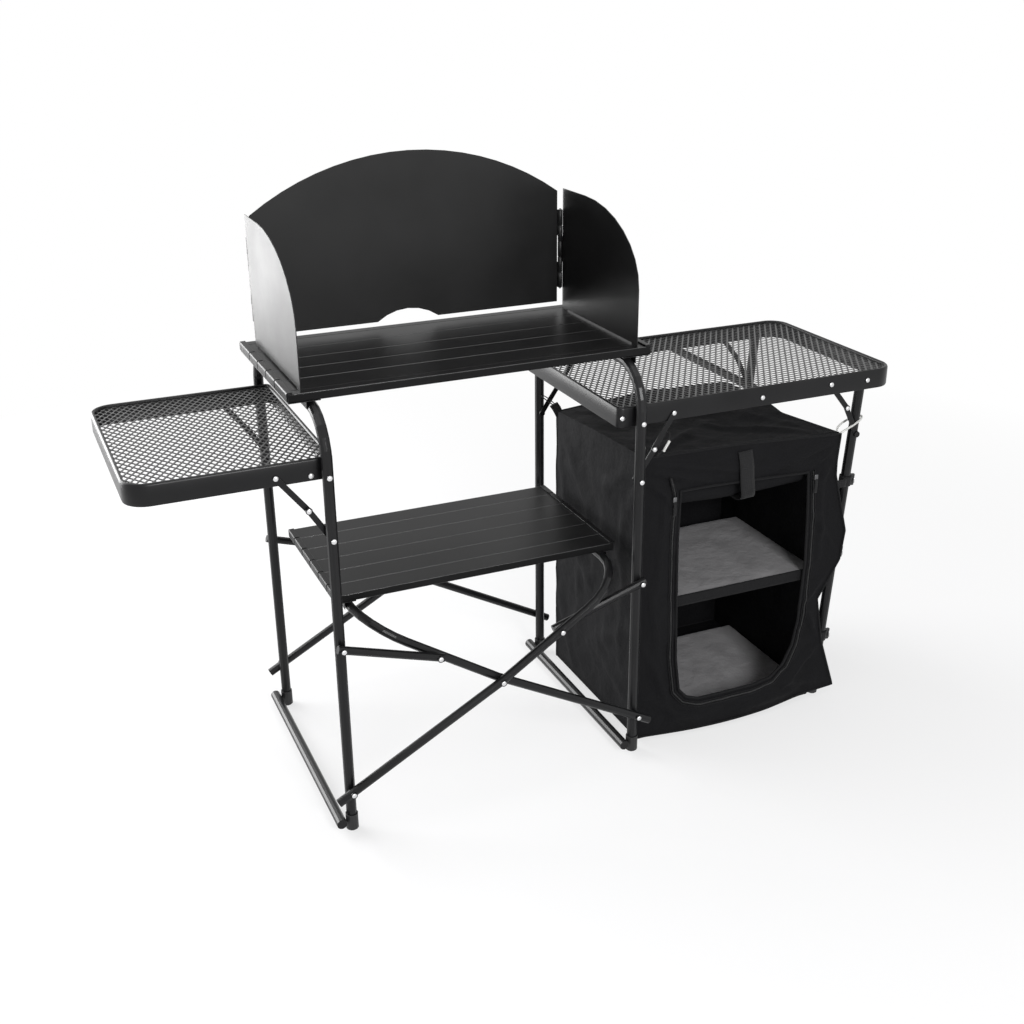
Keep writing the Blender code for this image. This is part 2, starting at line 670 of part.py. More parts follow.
def make_board(name, body_name, length, edges, underside, crest_x, crest_radius, groove_inset):
    """Slats held at both ends in rails that lie on the crests and hook over their outer sides."""
    top = underside + BOARD_THICKNESS
    seat = RAIL_SHEET + CLEARANCE
    reach = length / 2 - seat
    last = len(edges) - 2
    for index, (low, high) in enumerate(zip(edges, edges[1:])):
        groove = None
        if groove_inset and index == 0:
            groove = low + groove_inset
        if groove_inset and index == last:
            groove = high - groove_inset
        gap = SLAT_GAP / 2
        section = slat_profile(low + gap, high - gap, underside + seat, top - seat, groove)
        slat = plate(f"{name}_slat_{index + 1}", [section], "side", -reach, reach)
        finish(slat, body_name, POWDER_COAT)
    hook = crest_x + crest_radius + CLEARANCE
    inner = crest_x - crest_radius - RAIL_SEAT
    outer = length / 2
    section = [
        (outer - RAIL_LIP, top),
        (outer, top),
        (outer, underside),
        (hook + RAIL_SHEET, underside),
        (hook + RAIL_SHEET, underside - HOOK_DROP),
        (hook, underside - HOOK_DROP),
        (hook, underside),
        (inner, underside),
        (inner, underside + RAIL_SHEET),
        (outer - RAIL_SHEET, underside + RAIL_SHEET),
        (outer - RAIL_SHEET, top - RAIL_SHEET),
        (outer - RAIL_LIP, top - RAIL_SHEET),
    ]
    for side in (LEFT, RIGHT):
        placed = [(side * x, z) for x, z in section]
        rail = plate(f"{name}_{SIDE_NAMES[side]}_rail", [placed], "front", edges[0], edges[-1])
        finish(rail, body_name, POWDER_COAT)


def rim_loop(inner, outer, y, side, inset):
    """A side table's outline, drawn in by an inset."""
    near = side * (inner + inset)
    far = side * (outer - inset)
    width = y - inset
    corners = [(near, -width), (far, -width), (far, width), (near, width)]
    small = max(RIM_INNER_CORNER - inset, RIM_WALL)
    large = max(RIM_OUTER_CORNER - inset, RIM_WALL)
    return rounded_loop(corners, (small, large, large, small))


def diamonds(inner, outer, y, side):
    """Staggered diamond gaps that lie whole inside the mesh panel's border."""
    border = RIM_FLANGE + MESH_BORDER
    low, high = inner + border, outer - border
    limit = y - border
    corner = RIM_OUTER_CORNER - RIM_FLANGE
    half_x, half_y = MESH_PITCH_X / 2, MESH_PITCH_Y / 2
    spacing = 2 * half_x * half_y / math.hypot(half_x, half_y)
    share = 1 - MESH_STRAND / spacing
    middle = (low + high) / 2
    columns = int((high - low) / MESH_PITCH_X) + 1
    rows = int(2 * limit / MESH_PITCH_Y) + 1
    loops = []
    for column in range(-columns, columns + 1):
        for row in range(-rows, rows + 1):
            if (column + row) % 2:
                continue
            x, across = middle + column * half_x, row * half_y
            reach_x, reach_y = half_x * share, half_y * share
            past_x = x + reach_x > high or x - reach_x < low
            past_y = abs(across) + reach_y > limit
            in_corner = x > high - corner and abs(across) > limit - corner
            if past_x or past_y or in_corner:
                continue
            points = [
                (x - reach_x, across), (x, across - reach_y), (x + reach_x, across), (x, across + reach_y),
            ]
            loops.append([(side * px, py) for px, py in points])
    return loops


def make_side_table(side):
    """A deep rim with a top flange, the diamond mesh under the flange and the brace rivets."""
    name = SIDE_NAMES[side] + "_table"
    inner = LEFT_INNER if side == LEFT else RIGHT_INNER
    outer = LEFT_OUTER if side == LEFT else RIGHT_OUTER
    y = RAIL_Y[side]
    outline = rim_loop(inner, outer, y, side, 0)
    window = rim_loop(inner, outer, y, side, RIM_FLANGE)
    rim = plate(name + "_rim", [outline, window], "flat", RIM_BOTTOM, RIM_TOP)
    pocket_top = RIM_TOP - RIM_FLANGE_THICKNESS
    pocket = plate(
        name + "_pocket", [rim_loop(inner, outer, y, side, RIM_WALL)], "flat",
        RIM_BOTTOM - RIM_WALL, pocket_top,
    )
    finish(rim, name, POWDER_COAT, smooth=True)
    combine(rim, pocket, "DIFFERENCE")
    middle_of_wall = y - RIM_WALL / 2
    top, _, _ = brace_points(side)
    rivets = []
    for row in (FRONT, REAR):
        rivets.append(rivet(top.x, top.z, row * middle_of_wall, row * BRACES[side]["upper_near"]))
    if side == RIGHT:
        outer_top, _, _ = outer_brace_points()
        leg_inside = OUTER_LEG_Y - LEG_RADIUS
        for row in (FRONT, REAR):
            start = row * middle_of_wall
            rivets.append(rivet(outer_top.x, outer_top.z, start, row * OUTER_BRACES["upper_near"]))
            rivets.append(rivet(OUTER_PIVOT_X, OUTER_PIVOT, start, row * leg_inside))
    holes = [
        (side * FRAME_X, TABLE_PIVOT, row * (y - 2 * RIM_WALL), row * (y + RIM_WALL))
        for row in (FRONT, REAR)
    ]
    cut_holes(rim, holes)
    add_rivets(rim, rivets)
    if side == RIGHT:
        height = MESH_BOTTOM - CLEARANCE - CROSSBAR_HEIGHT / 2
        heads = []
        for row in (FRONT, REAR):
            start = (CROSSBAR_X, row * middle_of_wall, height)
            heads.append((start, (CROSSBAR_X, row * (y + HEAD_HEIGHT), height), HEAD_RADIUS))
        add_heads(rim, heads)
    panel = rim_loop(inner, outer, y, side, RIM_WALL + CLEARANCE)
    gaps = diamonds(inner, outer, y, side)
    mesh = plate(name + "_mesh", [panel, *gaps], "flat", MESH_BOTTOM, MESH_TOP)
    finish(mesh, name, POWDER_COAT)


def make_crossbar():
    y = RAIL_Y[RIGHT] - RIM_WALL - CLEARANCE
    top = MESH_BOTTOM - CLEARANCE
    low = (CROSSBAR_X - CROSSBAR_WIDTH / 2, -y, top - CROSSBAR_HEIGHT)
    high = (CROSSBAR_X + CROSSBAR_WIDTH / 2, y, top)
    finish(box("right_table_crossbar", low, high), "right_table", POWDER_COAT)


def brace_outline(start, end):
    """A flat bar with round ends in x and z."""
    along = (end - start).normalized()
    angle = math.atan2(along.z, along.x)
    half = BRACE_WIDTH / 2
    points = []
    for centre, first in ((end, angle - math.pi / 2), (start, angle + math.pi / 2)):
        for step in range(CORNER_STEPS + 1):
            turn = first + math.pi * step / CORNER_STEPS
            points.append((centre.x + half * math.cos(turn), centre.z + half * math.sin(turn)))
    return points


def make_brace(name, body_name, start, end, near, far, head=None):
    """A flat bar with a hole at its start; head is the height of a closed rivet at its far end."""
    hole = ring(start.x, start.z, HOLE_RADIUS)
    bar = plate(name, [brace_outline(start, end), hole], "front", min(near, far), max(near, far))
    finish(bar, body_name, POWDER_COAT)
    if head:
        face = near + math.copysign(head, near - far)
        add_heads(bar, [((end.x, (near + far) / 2, end.z), (end.x, face, end.z), HEAD_RADIUS)])


def make_brace_pair(prefix, points, planes, elbow_on_lower):
    """Upper and lower bars that meet at an open elbow, front and rear."""
    top, elbow, foot = points
    head = BRACE_HEAD_ROOM - CLEARANCE
    for row in (FRONT, REAR):
        for level, start in (("upper", top), ("lower", foot)):
            name = f"{prefix}_{level}_brace_{DEPTH_NAMES[row]}"
            near, far = row * planes[level + "_near"], row * planes[level + "_far"]
            if level == "upper":
                near, far = far, near
            headed = (level == "lower") == elbow_on_lower
            body_name = f"{prefix}_{level}_braces"
            make_brace(name, body_name, start, elbow, near, far, head if headed else None)


def make_outer_leg():
    """Two legs joined by a low cross tube, with feet, brace rivets and fabric ties."""
    pivot = Vector((OUTER_PIVOT_X, 0, OUTER_PIVOT))
    top = pivot - OUTER_DOWN * OUTER_LEG_END
    bottom = OUTER_FOOT - OUTER_DOWN * (FOOT_SOLE + CLEARANCE)
    cross = pivot + OUTER_DOWN * OUTER_CROSS_DISTANCE
    front = Vector((0, -OUTER_LEG_Y, 0))
    rear = Vector((0, OUTER_LEG_Y, 0))
    frame = rods("outer_leg_frame", [(top + front, bottom + front, LEG_RADIUS)])
    cross_tube = rods("outer_leg_cross_tube", [(cross + front, cross + rear, ARM_RADIUS)], SMALL_ROD_SIDES)
    rear_leg = rods("outer_leg_rear_tube", [(top + rear, bottom + rear, LEG_RADIUS)])
    finish(frame, "outer_leg", POWDER_COAT, smooth=True)
    combine(frame, cross_tube, "UNION")
    combine(frame, rear_leg, "UNION")
    holes = []
    rivets = []
    _, _, foot = outer_brace_points()
    for row in (FRONT, REAR):
        inside = row * (OUTER_LEG_Y - 2 * LEG_RADIUS)
        outside = row * (OUTER_LEG_Y + 2 * LEG_RADIUS)
        holes.append((OUTER_PIVOT_X, OUTER_PIVOT, inside, outside))
        rivets.append(rivet(foot.x, foot.z, row * OUTER_LEG_Y, row * OUTER_BRACES["lower_far"]))
    cut_holes(frame, holes)
    add_rivets(frame, rivets)
    for row in (FRONT, REAR):
        at = OUTER_FOOT + Vector((0, row * OUTER_LEG_Y, 0))
        make_foot(f"outer_{DEPTH_NAMES[row]}_foot", "outer_leg", at, turn=OUTER_TILT)


def make_ties():
    """Fabric loops round the front outer leg, thick enough to meet the cabinet's front panel."""
    inside = LEG_RADIUS + CLEARANCE
    outside = -CABINET_FRONT - CABINET_WALL - CLEARANCE - OUTER_LEG_Y
    half = TIE_WIDTH / 2
    profile = [(inside, -half), (inside, half), (outside, half), (outside, -half)]
    for index, height in enumerate(TIE_HEIGHTS):
        distance = (OUTER_PIVOT - height) / math.cos(OUTER_TILT)
        at = Vector((OUTER_PIVOT_X, -OUTER_LEG_Y, OUTER_PIVOT)) + OUTER_DOWN * distance
        tie = turned(f"cabinet_tie_{index + 1}", profile, closed=True)
        finish(tie, "outer_leg", BLACK_FABRIC, smooth=True, at=at, turn=OUTER_TILT)


def knuckle_heights():
    """The three knuckles of a hinge from bottom to top; the wing owns the middle one."""
    step = (KNUCKLE_TOP - KNUCKLE_BOTTOM) / 3
    half = CLEARANCE / 2
    lows = [KNUCKLE_BOTTOM + step * index for index in range(3)]
    return [(low + half, low + step - half) for low in lows]


def add_knuckles(sheet, x, heights):
    """Rolls on a sheet's edge at one hinge, bored for the hinge pin."""
    rolls = [((x, HINGE_Y, low), (x, HINGE_Y, high), KNUCKLE_RADIUS) for low, high in heights]
    bore_low = (x, HINGE_Y, KNUCKLE_BOTTOM - KNUCKLE_RADIUS)
    bore_high = (x, HINGE_Y, KNUCKLE_TOP + KNUCKLE_RADIUS)
    bore = rods(sheet.name + "_bore", [(bore_low, bore_high, KNUCKLE_BORE)], SMALL_ROD_SIDES)
    combine(sheet, rods(sheet.name + "_rolls", rolls), "UNION")
    combine(sheet, bore, "DIFFERENCE")


def hinge_edge(edge, axis, heights, inset=CLEARANCE):
    """One side of a sheet from bottom to top, reaching its own knuckles."""
    root = axis - KNUCKLE_RADIUS / 4
    points = []
    for low, high in heights:
        low += inset
        high -= inset
        points += [(edge, low), (root, low), (root, high), (edge, high)]
    return points


def arc_points(left, right, base, rise, steps):
    """Points of a circle's arc over a chord, ends included, from left to right."""
    half = (right - left) / 2
    radius = (half * half + rise * rise) / (2 * rise)
    span = math.asin(half / radius)
    points = []
    for step in range(steps + 1):
        angle = -span + 2 * span * step / steps
        x = (left + right) / 2 + radius * math.sin(angle)
        points.append((x, base + rise - radius * (1 - math.cos(angle))))
    return points


def make_windscreen_back():
    edge = HINGE_X - KNUCKLE_RADIUS - HINGE_GAP
    heights = knuckle_heights()
    own = [heights[0], heights[2]]
    notch_rise = BACK_NOTCH_TOP - BACK_BOTTOM
    right_side = hinge_edge(edge, HINGE_X, own)
    left_side = hinge_edge(edge, HINGE_X, own, 2 * CLEARANCE)
    crest = arc_points(-edge, edge, BACK_CORNER, BACK_CREST - BACK_CORNER, 3 * BEND_STEPS)
    outline = [(-edge, BACK_BOTTOM)]
    outline += arc_points(BACK_NOTCH_LEFT, BACK_NOTCH_RIGHT, BACK_BOTTOM, notch_rise, BEND_STEPS)
    outline.append((edge, BACK_BOTTOM))
    outline += right_side + crest[::-1] + [(-x, z) for x, z in reversed(left_side)]
    middle = HINGE_Y + SHEET_OFFSET
    back = plate("windscreen_back", [outline], "front", middle - SHEET / 2, middle + SHEET / 2)
    finish(back, "windscreen", POWDER_COAT, smooth=True)
    for side in (LEFT, RIGHT):
        add_knuckles(back, side * HINGE_X, own)


def make_wing(side):
    edge = HINGE_Y - KNUCKLE_RADIUS - HINGE_GAP
    own = [knuckle_heights()[1]]
    bottom = SLAT_TOP + CLEARANCE
    relief = bottom + WING_FOOT_RELIEF
    rear_foot = edge - WING_FOOT_LENGTH
    front_foot = WING_FOOT_LENGTH - WING_FRONT
    outline = [(-WING_FRONT, bottom), (front_foot, bottom), (front_foot, relief)]
    outline += [(rear_foot, relief), (rear_foot, bottom), (edge, bottom)]
    outline += hinge_edge(edge, HINGE_Y, own)
    outline.append((edge, WING_TOP))
    steps = 2 * CORNER_STEPS
    for step in range(steps + 1):
        angle = math.pi / 2 * (1 - step / steps)
        y = WING_TOP_FRONT - (WING_FRONT + WING_TOP_FRONT) * math.cos(angle)
        outline.append((y, WING_FRONT_TOP + (WING_TOP - WING_FRONT_TOP) * math.sin(angle)))
    offset = HINGE_X + SHEET_OFFSET
    low, high = sorted((side * (offset - SHEET / 2), side * (offset + SHEET / 2)))
    name = SIDE_NAMES[side] + "_wing"
    wing = plate("windscreen_" + name, [outline], "side", low, high)
    finish(wing, name, POWDER_COAT, smooth=True)
    add_knuckles(wing, side * HINGE_X, own)


def make_hinge_pins():
    reach = HINGE_PIN_RADIUS
    for side in (LEFT, RIGHT):
        low = (side * HINGE_X, HINGE_Y, KNUCKLE_BOTTOM - reach)
        high = (side * HINGE_X, HINGE_Y, KNUCKLE_TOP + reach)
        pin = rods(f"windscreen_{SIDE_NAMES[side]}_pin", [(low, high, HINGE_PIN_RADIUS)], SMALL_ROD_SIDES)
        finish(pin, "windscreen", PIN_STEEL, smooth=True)


def cabinet_body_loop(inset):
    """The cabinet's cross-section from the front, with its top sagging to the right."""
    left, right = CABINET_LEFT + inset, CABINET_RIGHT - inset
    bottom, top = CABINET_BOTTOM + inset, CABINET_TOP - inset
    return [(left, bottom), (right, bottom), (right, top - CABINET_TOP_SAG), (left, top)]


def make_cabinet():
    """A fabric box whose front panel reaches past the outer leg, with an open door."""
    wall_inside = CABINET_FRONT + CABINET_WALL
    shell = plate(
        "cabinet_shell", [cabinet_body_loop(0)], "front", wall_inside - CABINET_WALL / 2, CABINET_REAR
    )
    room = plate(
        "cabinet_room", [cabinet_body_loop(CABINET_WALL)], "front",
        CABINET_FRONT - CABINET_WALL, CABINET_REAR - CABINET_WALL,
    )
    edge_top = (CABINET_EDGE_TOP[0], CABINET_TOP - CABINET_TOP_SAG)
    outline = [(CABINET_LEFT, CABINET_BOTTOM), *CABINET_EDGE, CABINET_EDGE_TOP, edge_top]
    outline.append((CABINET_LEFT, CABINET_TOP))
    sill = [(DOOR_LEFT, DOOR_BOTTOM), (DOOR_RIGHT, DOOR_BOTTOM)]
    door_corners = [*sill, (DOOR_RIGHT, DOOR_TOP), (DOOR_LEFT, DOOR_TOP)]
    door = rounded_loop(door_corners, (DOOR_CORNER, DOOR_CORNER, CABINET_WALL, CABINET_WALL))
    panel = plate("cabinet_front_panel", [outline, door], "front", CABINET_FRONT, wall_inside)
    finish(shell, "right_frame", BLACK_FABRIC)
    combine(shell, room, "DIFFERENCE")
    combine(shell, panel, "UNION")
    half = CABINET_WALL / 2
    side_gap = CABINET_WALL + CLEARANCE
    low = (CABINET_LEFT + side_gap, wall_inside + CLEARANCE, CABINET_SHELF - half)
    high = (CABINET_RIGHT - side_gap, wall_inside + CLEARANCE + CABINET_SHELF_DEPTH, CABINET_SHELF + half)
    finish(box("cabinet_middle_shelf", low, high), "right_frame", BLACK_FABRIC)
    strap_face = CABINET_FRONT - CLEARANCE
    low = (STRAP_X - STRAP_WIDTH / 2, strap_face - STRAP_THICKNESS, STRAP_BOTTOM)
    high = (STRAP_X + STRAP_WIDTH / 2, strap_face, STRAP_TOP)
    finish(box("cabinet_door_strap", low, high), "right_frame", BLACK_FABRIC)


make_bodies()
for end in (LEFT, RIGHT):
    make_end_frame(end)
    make_floor_bar(end)
    make_frame_feet(end)
    make_links(end)
    make_side_table(end)
    make_brace_pair(SIDE_NAMES[end], brace_points(end), BRACES[end], elbow_on_lower=True)
    make_wing(end)
make_inner_scissor()
make_outer_scissor()
make_board(
    "main_top", "main_top", TOP_LENGTH, TOP_SLATS, TOP_UNDERSIDE, FRAME_X, LEG_RADIUS, TOP_GROOVE_INSET
)
make_board(
    "lower_shelf", "lower_shelf", SHELF_LENGTH, SHELF_SLATS, SHELF_CREST + ARM_RADIUS + CLEARANCE,
    SHELF_CREST_X, ARM_RADIUS, None,
)
make_crossbar()
make_outer_leg()
make_brace_pair("outer", outer_brace_points(), OUTER_BRACES, elbow_on_lower=False)
make_ties()
make_windscreen_back()
make_hinge_pins()
make_cabinet()
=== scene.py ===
import math

import bmesh
import bpy
from mathutils import Matrix, Vector, noise


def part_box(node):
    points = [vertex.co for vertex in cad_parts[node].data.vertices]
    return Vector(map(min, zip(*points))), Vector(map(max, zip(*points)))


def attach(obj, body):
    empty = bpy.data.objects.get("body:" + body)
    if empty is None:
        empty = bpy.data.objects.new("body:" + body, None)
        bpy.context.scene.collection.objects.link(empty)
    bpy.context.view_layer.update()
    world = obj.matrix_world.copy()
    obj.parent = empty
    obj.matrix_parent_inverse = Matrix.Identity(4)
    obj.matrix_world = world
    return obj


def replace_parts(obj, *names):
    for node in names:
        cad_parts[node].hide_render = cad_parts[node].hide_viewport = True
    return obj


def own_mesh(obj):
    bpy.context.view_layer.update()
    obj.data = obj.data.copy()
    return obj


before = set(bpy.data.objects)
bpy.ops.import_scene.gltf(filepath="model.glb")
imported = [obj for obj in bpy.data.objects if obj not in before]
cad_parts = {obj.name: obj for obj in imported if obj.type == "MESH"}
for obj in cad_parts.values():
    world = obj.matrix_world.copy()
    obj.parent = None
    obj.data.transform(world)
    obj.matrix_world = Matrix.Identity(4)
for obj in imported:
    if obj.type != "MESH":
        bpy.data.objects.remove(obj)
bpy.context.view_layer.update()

# Sizes in metres; x is counted from midway between the end frames, as on the drawing
MIDDLE_X = -0.126
LEG_RADIUS = 0.0095
LEFT_LEG_Y = 0.2315
RIGHT_LEG_Y = 0.2152
OUTER_LEG_Y = 0.1814
LEFT_RAIL_Y = 0.2138
RIGHT_RAIL_Y = 0.1998
LEFT_ARM_FACE = 0.2573
RIGHT_ARM_FACE = 0.2410
LEFT_LINK_FACE = 0.2563
RIGHT_LINK_FACE = 0.2405

FRAME_X = 0.287
ARM_PIVOT = 0.085
LINK_PIVOT = 0.370
BRACE_FOOT = 0.566
BRACE_TOP = 0.679
TABLE_PIVOT = 0.676
OUTER_FOOT_X = 0.735
OUTER_PIVOT_X = 0.785
HINGE_X = 0.300
HINGE_Y = 0.1465
HINGE_START = 0.840
HINGE_PITCH = 0.030

TOP_SLATS = (-0.170, -0.090, -0.030, 0.030, 0.090, 0.170)
SHELF_SLATS = (-0.157, -0.110, -0.055, 0.0, 0.055, 0.110, 0.157)
TOP_HALF_LENGTH = 0.327
SHELF_HALF_LENGTH = 0.270
SLAT_END_LIP = 0.009

CABINET_FRONT_Y = -0.1998
CABINET_BACK_Y = 0.168
CABINET_LEFT = 0.3065
CABINET_RIGHT = 0.711
CABINET_TOP = 0.599
CABINET_BOTTOM = 0.0095
CLOTH = 0.0016
FRONT_CRUMPLE = 0.0055
ZIP_CRUMPLE = 0.0035
FOLD_SEED = 3.1
WALL_STEPS = 56
DEPTH_STEPS = 44
BOARD_X = (0.3105, 0.7075)
BOARD_Y = (-0.1930, 0.098)
ROLL_X = (0.386, 0.668)

# The turns that the door is rolled up in
DOOR_TURNS = 5.55

MESH_LONG = 0.0215
MESH_SHORT = 0.0135
MESH_STRAND = 0.0028
MESH_THICKNESS = 0.0014
MESH_CORNER = 0.0367
RIM_OUTER_CORNER = 0.040
RIM_INNER_CORNER = 0.012
CORD_SIDES = 8
SHARP = math.radians(50)


def at(x, y, z):
    """A place of the drawing in the scene."""
    return Vector((x + MIDDLE_X, y, z))


# Shader groups and finishes

def add(tree, kind, **settings):
    made = tree.nodes.new(kind)
    for key, value in settings.items():
        setattr(made, key, value)
    return made


def preset(node, **values):
    """Sets inputs by name, with underscores for spaces."""
    for label, value in values.items():
        node.inputs[label.replace("_", " ")].default_value = value


def new_group(name, inputs, outputs):
    tree = bpy.data.node_groups.new(name, "ShaderNodeTree")
    for label, value in inputs:
        made = tree.interface.new_socket(name=label, in_out="INPUT", socket_type="NodeSocketFloat")
        made.default_value = value
    for label in outputs:
        tree.interface.new_socket(name=label, in_out="OUTPUT", socket_type="NodeSocketFloat")
    return tree, add(tree, "NodeGroupInput"), add(tree, "NodeGroupOutput")


def calculate(tree, operation, a, b=None, clamp=False):
    made = add(tree, "ShaderNodeMath", operation=operation, use_clamp=clamp)
    for socket, value in zip(made.inputs, (a, b)):
        if isinstance(value, (int, float)):
            socket.default_value = value
        elif value is not None:
            tree.links.new(value, socket)
    return made.outputs[0]


def ramp(tree, value, low, high, to_low=0.0, to_high=1.0):
    made = add(tree, "ShaderNodeMapRange")
    tree.links.new(value, made.inputs["Value"])
    preset(made, From_Min=low, From_Max=high, To_Min=to_low, To_Max=to_high)
    return made.outputs["Result"]


def object_place(tree):
    return add(tree, "ShaderNodeTexCoord").outputs["Object"]


def cloud(tree, place, scale, detail=3.0, roughness=0.5):
    made = add(tree, "ShaderNodeTexNoise")
    tree.links.new(place, made.inputs["Vector"])
    preset(made, Detail=detail, Roughness=roughness)
    if isinstance(scale, (int, float)):
        preset(made, Scale=scale)
    else:
        tree.links.new(scale, made.inputs["Scale"])
    return made.outputs["Fac"]


def make_powder_grain():
    """The fine orange peel of powder coat, and the faint cloudiness of a large sprayed face."""
    scales = [("Grain Scale", 900.0), ("Cloud Scale", 7.0)]
    tree, given, result = new_group("powder_grain", scales, ["Grain", "Cloud"])
    place = object_place(tree)
    tree.links.new(cloud(tree, place, given.outputs["Grain Scale"], 2.0), result.inputs["Grain"])
    tree.links.new(cloud(tree, place, given.outputs["Cloud Scale"], 4.0), result.inputs["Cloud"])
    return tree


def make_painted_edge_highlight():
    """A mask of the edges, broken up by noise, where a paler grey is painted on as a highlight."""
    tree, given, result = new_group("painted_edge_highlight", [("Width", 0.0012), ("Breakup Scale", 60.0)], ["Mask"])
    soft = add(tree, "ShaderNodeBevel", samples=4)
    tree.links.new(given.outputs["Width"], soft.inputs["Radius"])
    flat = add(tree, "ShaderNodeNewGeometry").outputs["True Normal"]
    turn = add(tree, "ShaderNodeVectorMath", operation="DOT_PRODUCT")
    tree.links.new(soft.outputs["Normal"], turn.inputs[0])
    tree.links.new(flat, turn.inputs[1])
    edge = ramp(tree, turn.outputs["Value"], 0.985, 0.80)
    place = object_place(tree)
    broken = ramp(tree, cloud(tree, place, given.outputs["Breakup Scale"], 5.0), 0.42, 0.66)
    tree.links.new(calculate(tree, "MULTIPLY", edge, broken, clamp=True), result.inputs["Mask"])
    return tree


def make_settled_dust():
    """Faint dust on what faces up."""
    tree, given, result = new_group("settled_dust", [("Patch Scale", 14.0)], ["Mask"])
    geometry = add(tree, "ShaderNodeNewGeometry")
    parts = add(tree, "ShaderNodeSeparateXYZ")
    tree.links.new(geometry.outputs["Normal"], parts.inputs[0])
    up = ramp(tree, parts.outputs["Z"], 0.55, 1.0)
    place = object_place(tree)
    patch = ramp(tree, cloud(tree, place, given.outputs["Patch Scale"], 6.0, 0.6), 0.35, 0.8)
    tree.links.new(calculate(tree, "MULTIPLY", up, patch, clamp=True), result.inputs["Mask"])
    return tree


def make_woven_threads():
    """Plain weave on any face that lies along two of the axes, with slubs and creases of cloth."""
    scales = [("Threads", 900.0), ("Slub Scale", 25.0)]
    tree, given, result = new_group("woven_threads", scales, ["Height", "Shade"])
    place = object_place(tree)
    parts = add(tree, "ShaderNodeSeparateXYZ")
    tree.links.new(place, parts.inputs[0])
    total = None
    for axis in ("X", "Y", "Z"):
        turns = calculate(tree, "MULTIPLY", parts.outputs[axis], given.outputs["Threads"])
        wave = calculate(tree, "SINE", turns)
        total = wave if total is None else calculate(tree, "ADD", total, wave)
    tree.links.new(ramp(tree, total, -2.2, 2.2), result.inputs["Height"])
    tree.links.new(cloud(tree, place, given.outputs["Slub Scale"], 6.0, 0.62), result.inputs["Shade"])
    return tree


POWDER_GRAIN = make_powder_grain()
PAINTED_EDGE_HIGHLIGHT = make_painted_edge_highlight()
SETTLED_DUST = make_settled_dust()
WOVEN_THREADS = make_woven_threads()


def place_group(tree, group, **values):
    made = add(tree, "ShaderNodeGroup", node_tree=group)
    preset(made, **values)
    return made


def mixed(tree, factor, first, second):
    """A colour between two, each a colour or a socket."""
    made = add(tree, "ShaderNodeMix", data_type="RGBA")
    tree.links.new(factor, made.inputs[0])
    for socket, value in ((made.inputs[6], first), (made.inputs[7], second)):
        if isinstance(value, tuple):
            socket.default_value = (*value, 1.0)
        else:
            tree.links.new(value, socket)
    return made.outputs[2]


def relief(tree, height, strength, distance, base=None):
    bump = add(tree, "ShaderNodeBump")
    preset(bump, Strength=strength, Distance=distance)
    tree.links.new(height, bump.inputs["Height"])
    if base is not None:
        tree.links.new(base, bump.inputs["Normal"])
    return bump.outputs["Normal"]


def soften(tree, shader, corner, grain, strength):
    """Rounds the corners in the shading, with the grain laid over them."""
    soft = add(tree, "ShaderNodeBevel", samples=4)
    preset(soft, Radius=corner)
    normal = relief(tree, grain, strength, 0.0003, soft.outputs["Normal"])
    tree.links.new(normal, shader.inputs["Normal"])


def coat(tree, shader, base, value, low, high, smoothest, roughest):
    """Gives the finish its colour, and a roughness that follows value."""
    tree.links.new(base, shader.inputs["Base Color"])
    rough = ramp(tree, value, low, high, smoothest, roughest)
    tree.links.new(rough, shader.inputs["Roughness"])


def new_finish(name):
    made = bpy.data.materials.new(name)
    made.use_nodes = True
    return made, made.node_tree, made.node_tree.nodes["Principled BSDF"]


def coated_metal(name, colour, roughness, grain, painted_highlight_share, dust, level=0.5, corner=0.0009):
    """Powder coat: orange peel, softened corners, edges painted paler as a highlight, and a little dust."""
    made, tree, shader = new_finish(name)
    peel = place_group(tree, POWDER_GRAIN)
    painted_edge_light = place_group(tree, PAINTED_EDGE_HIGHLIGHT)
    dusty = place_group(tree, SETTLED_DUST)
    light = tuple(part * 1.5 + 0.0015 for part in colour)
    base = mixed(tree, ramp(tree, peel.outputs["Cloud"], 0.3, 0.7), colour, light)
    # Painted highlight: the edges are painted paler grey, broken up by noise.
    base = mixed(tree, calculate(tree, "MULTIPLY", painted_edge_light.outputs["Mask"], painted_highlight_share), base, (0.20, 0.20, 0.205))
    base = mixed(tree, calculate(tree, "MULTIPLY", dusty.outputs["Mask"], dust), base, (0.22, 0.21, 0.195))
    coat(tree, shader, base, peel.outputs["Cloud"], 0.25, 0.75, roughness - 0.05, roughness + 0.06)
    preset(shader, Specular_IOR_Level=level)
    soften(tree, shader, corner, peel.outputs["Grain"], grain)
    return made


def cloth(name, colour, threads, weave, sheen, roughness=0.85, level=0.3):
    """Coated polyester: a tight weave with slubs, paler where it is worn, with painted shade in the hollows
    between the threads.
    """
    made, tree, shader = new_finish(name)
    woven = place_group(tree, WOVEN_THREADS, Threads=threads)
    pale = tuple(part * 1.25 + 0.0015 for part in colour)
    base = mixed(tree, ramp(tree, woven.outputs["Shade"], 0.35, 0.7), colour, pale)
    # Painted shade: the colour is darkened in the hollows of the weave.
    painted_valley_shade = tuple(part * 0.7 for part in colour)
    base = mixed(tree, ramp(tree, woven.outputs["Height"], 0.5, 0.1, 0.0, 0.6), base, painted_valley_shade)
    coat(tree, shader, base, woven.outputs["Shade"], 0.3, 0.7, roughness - 0.08, min(1.0, roughness + 0.06))
    preset(shader, Specular_IOR_Level=level, Sheen_Weight=sheen, Sheen_Roughness=0.45)
    broad = relief(tree, woven.outputs["Shade"], 0.7, 0.006)
    tree.links.new(relief(tree, woven.outputs["Height"], weave, 0.0006, broad), shader.inputs["Normal"])
    return made


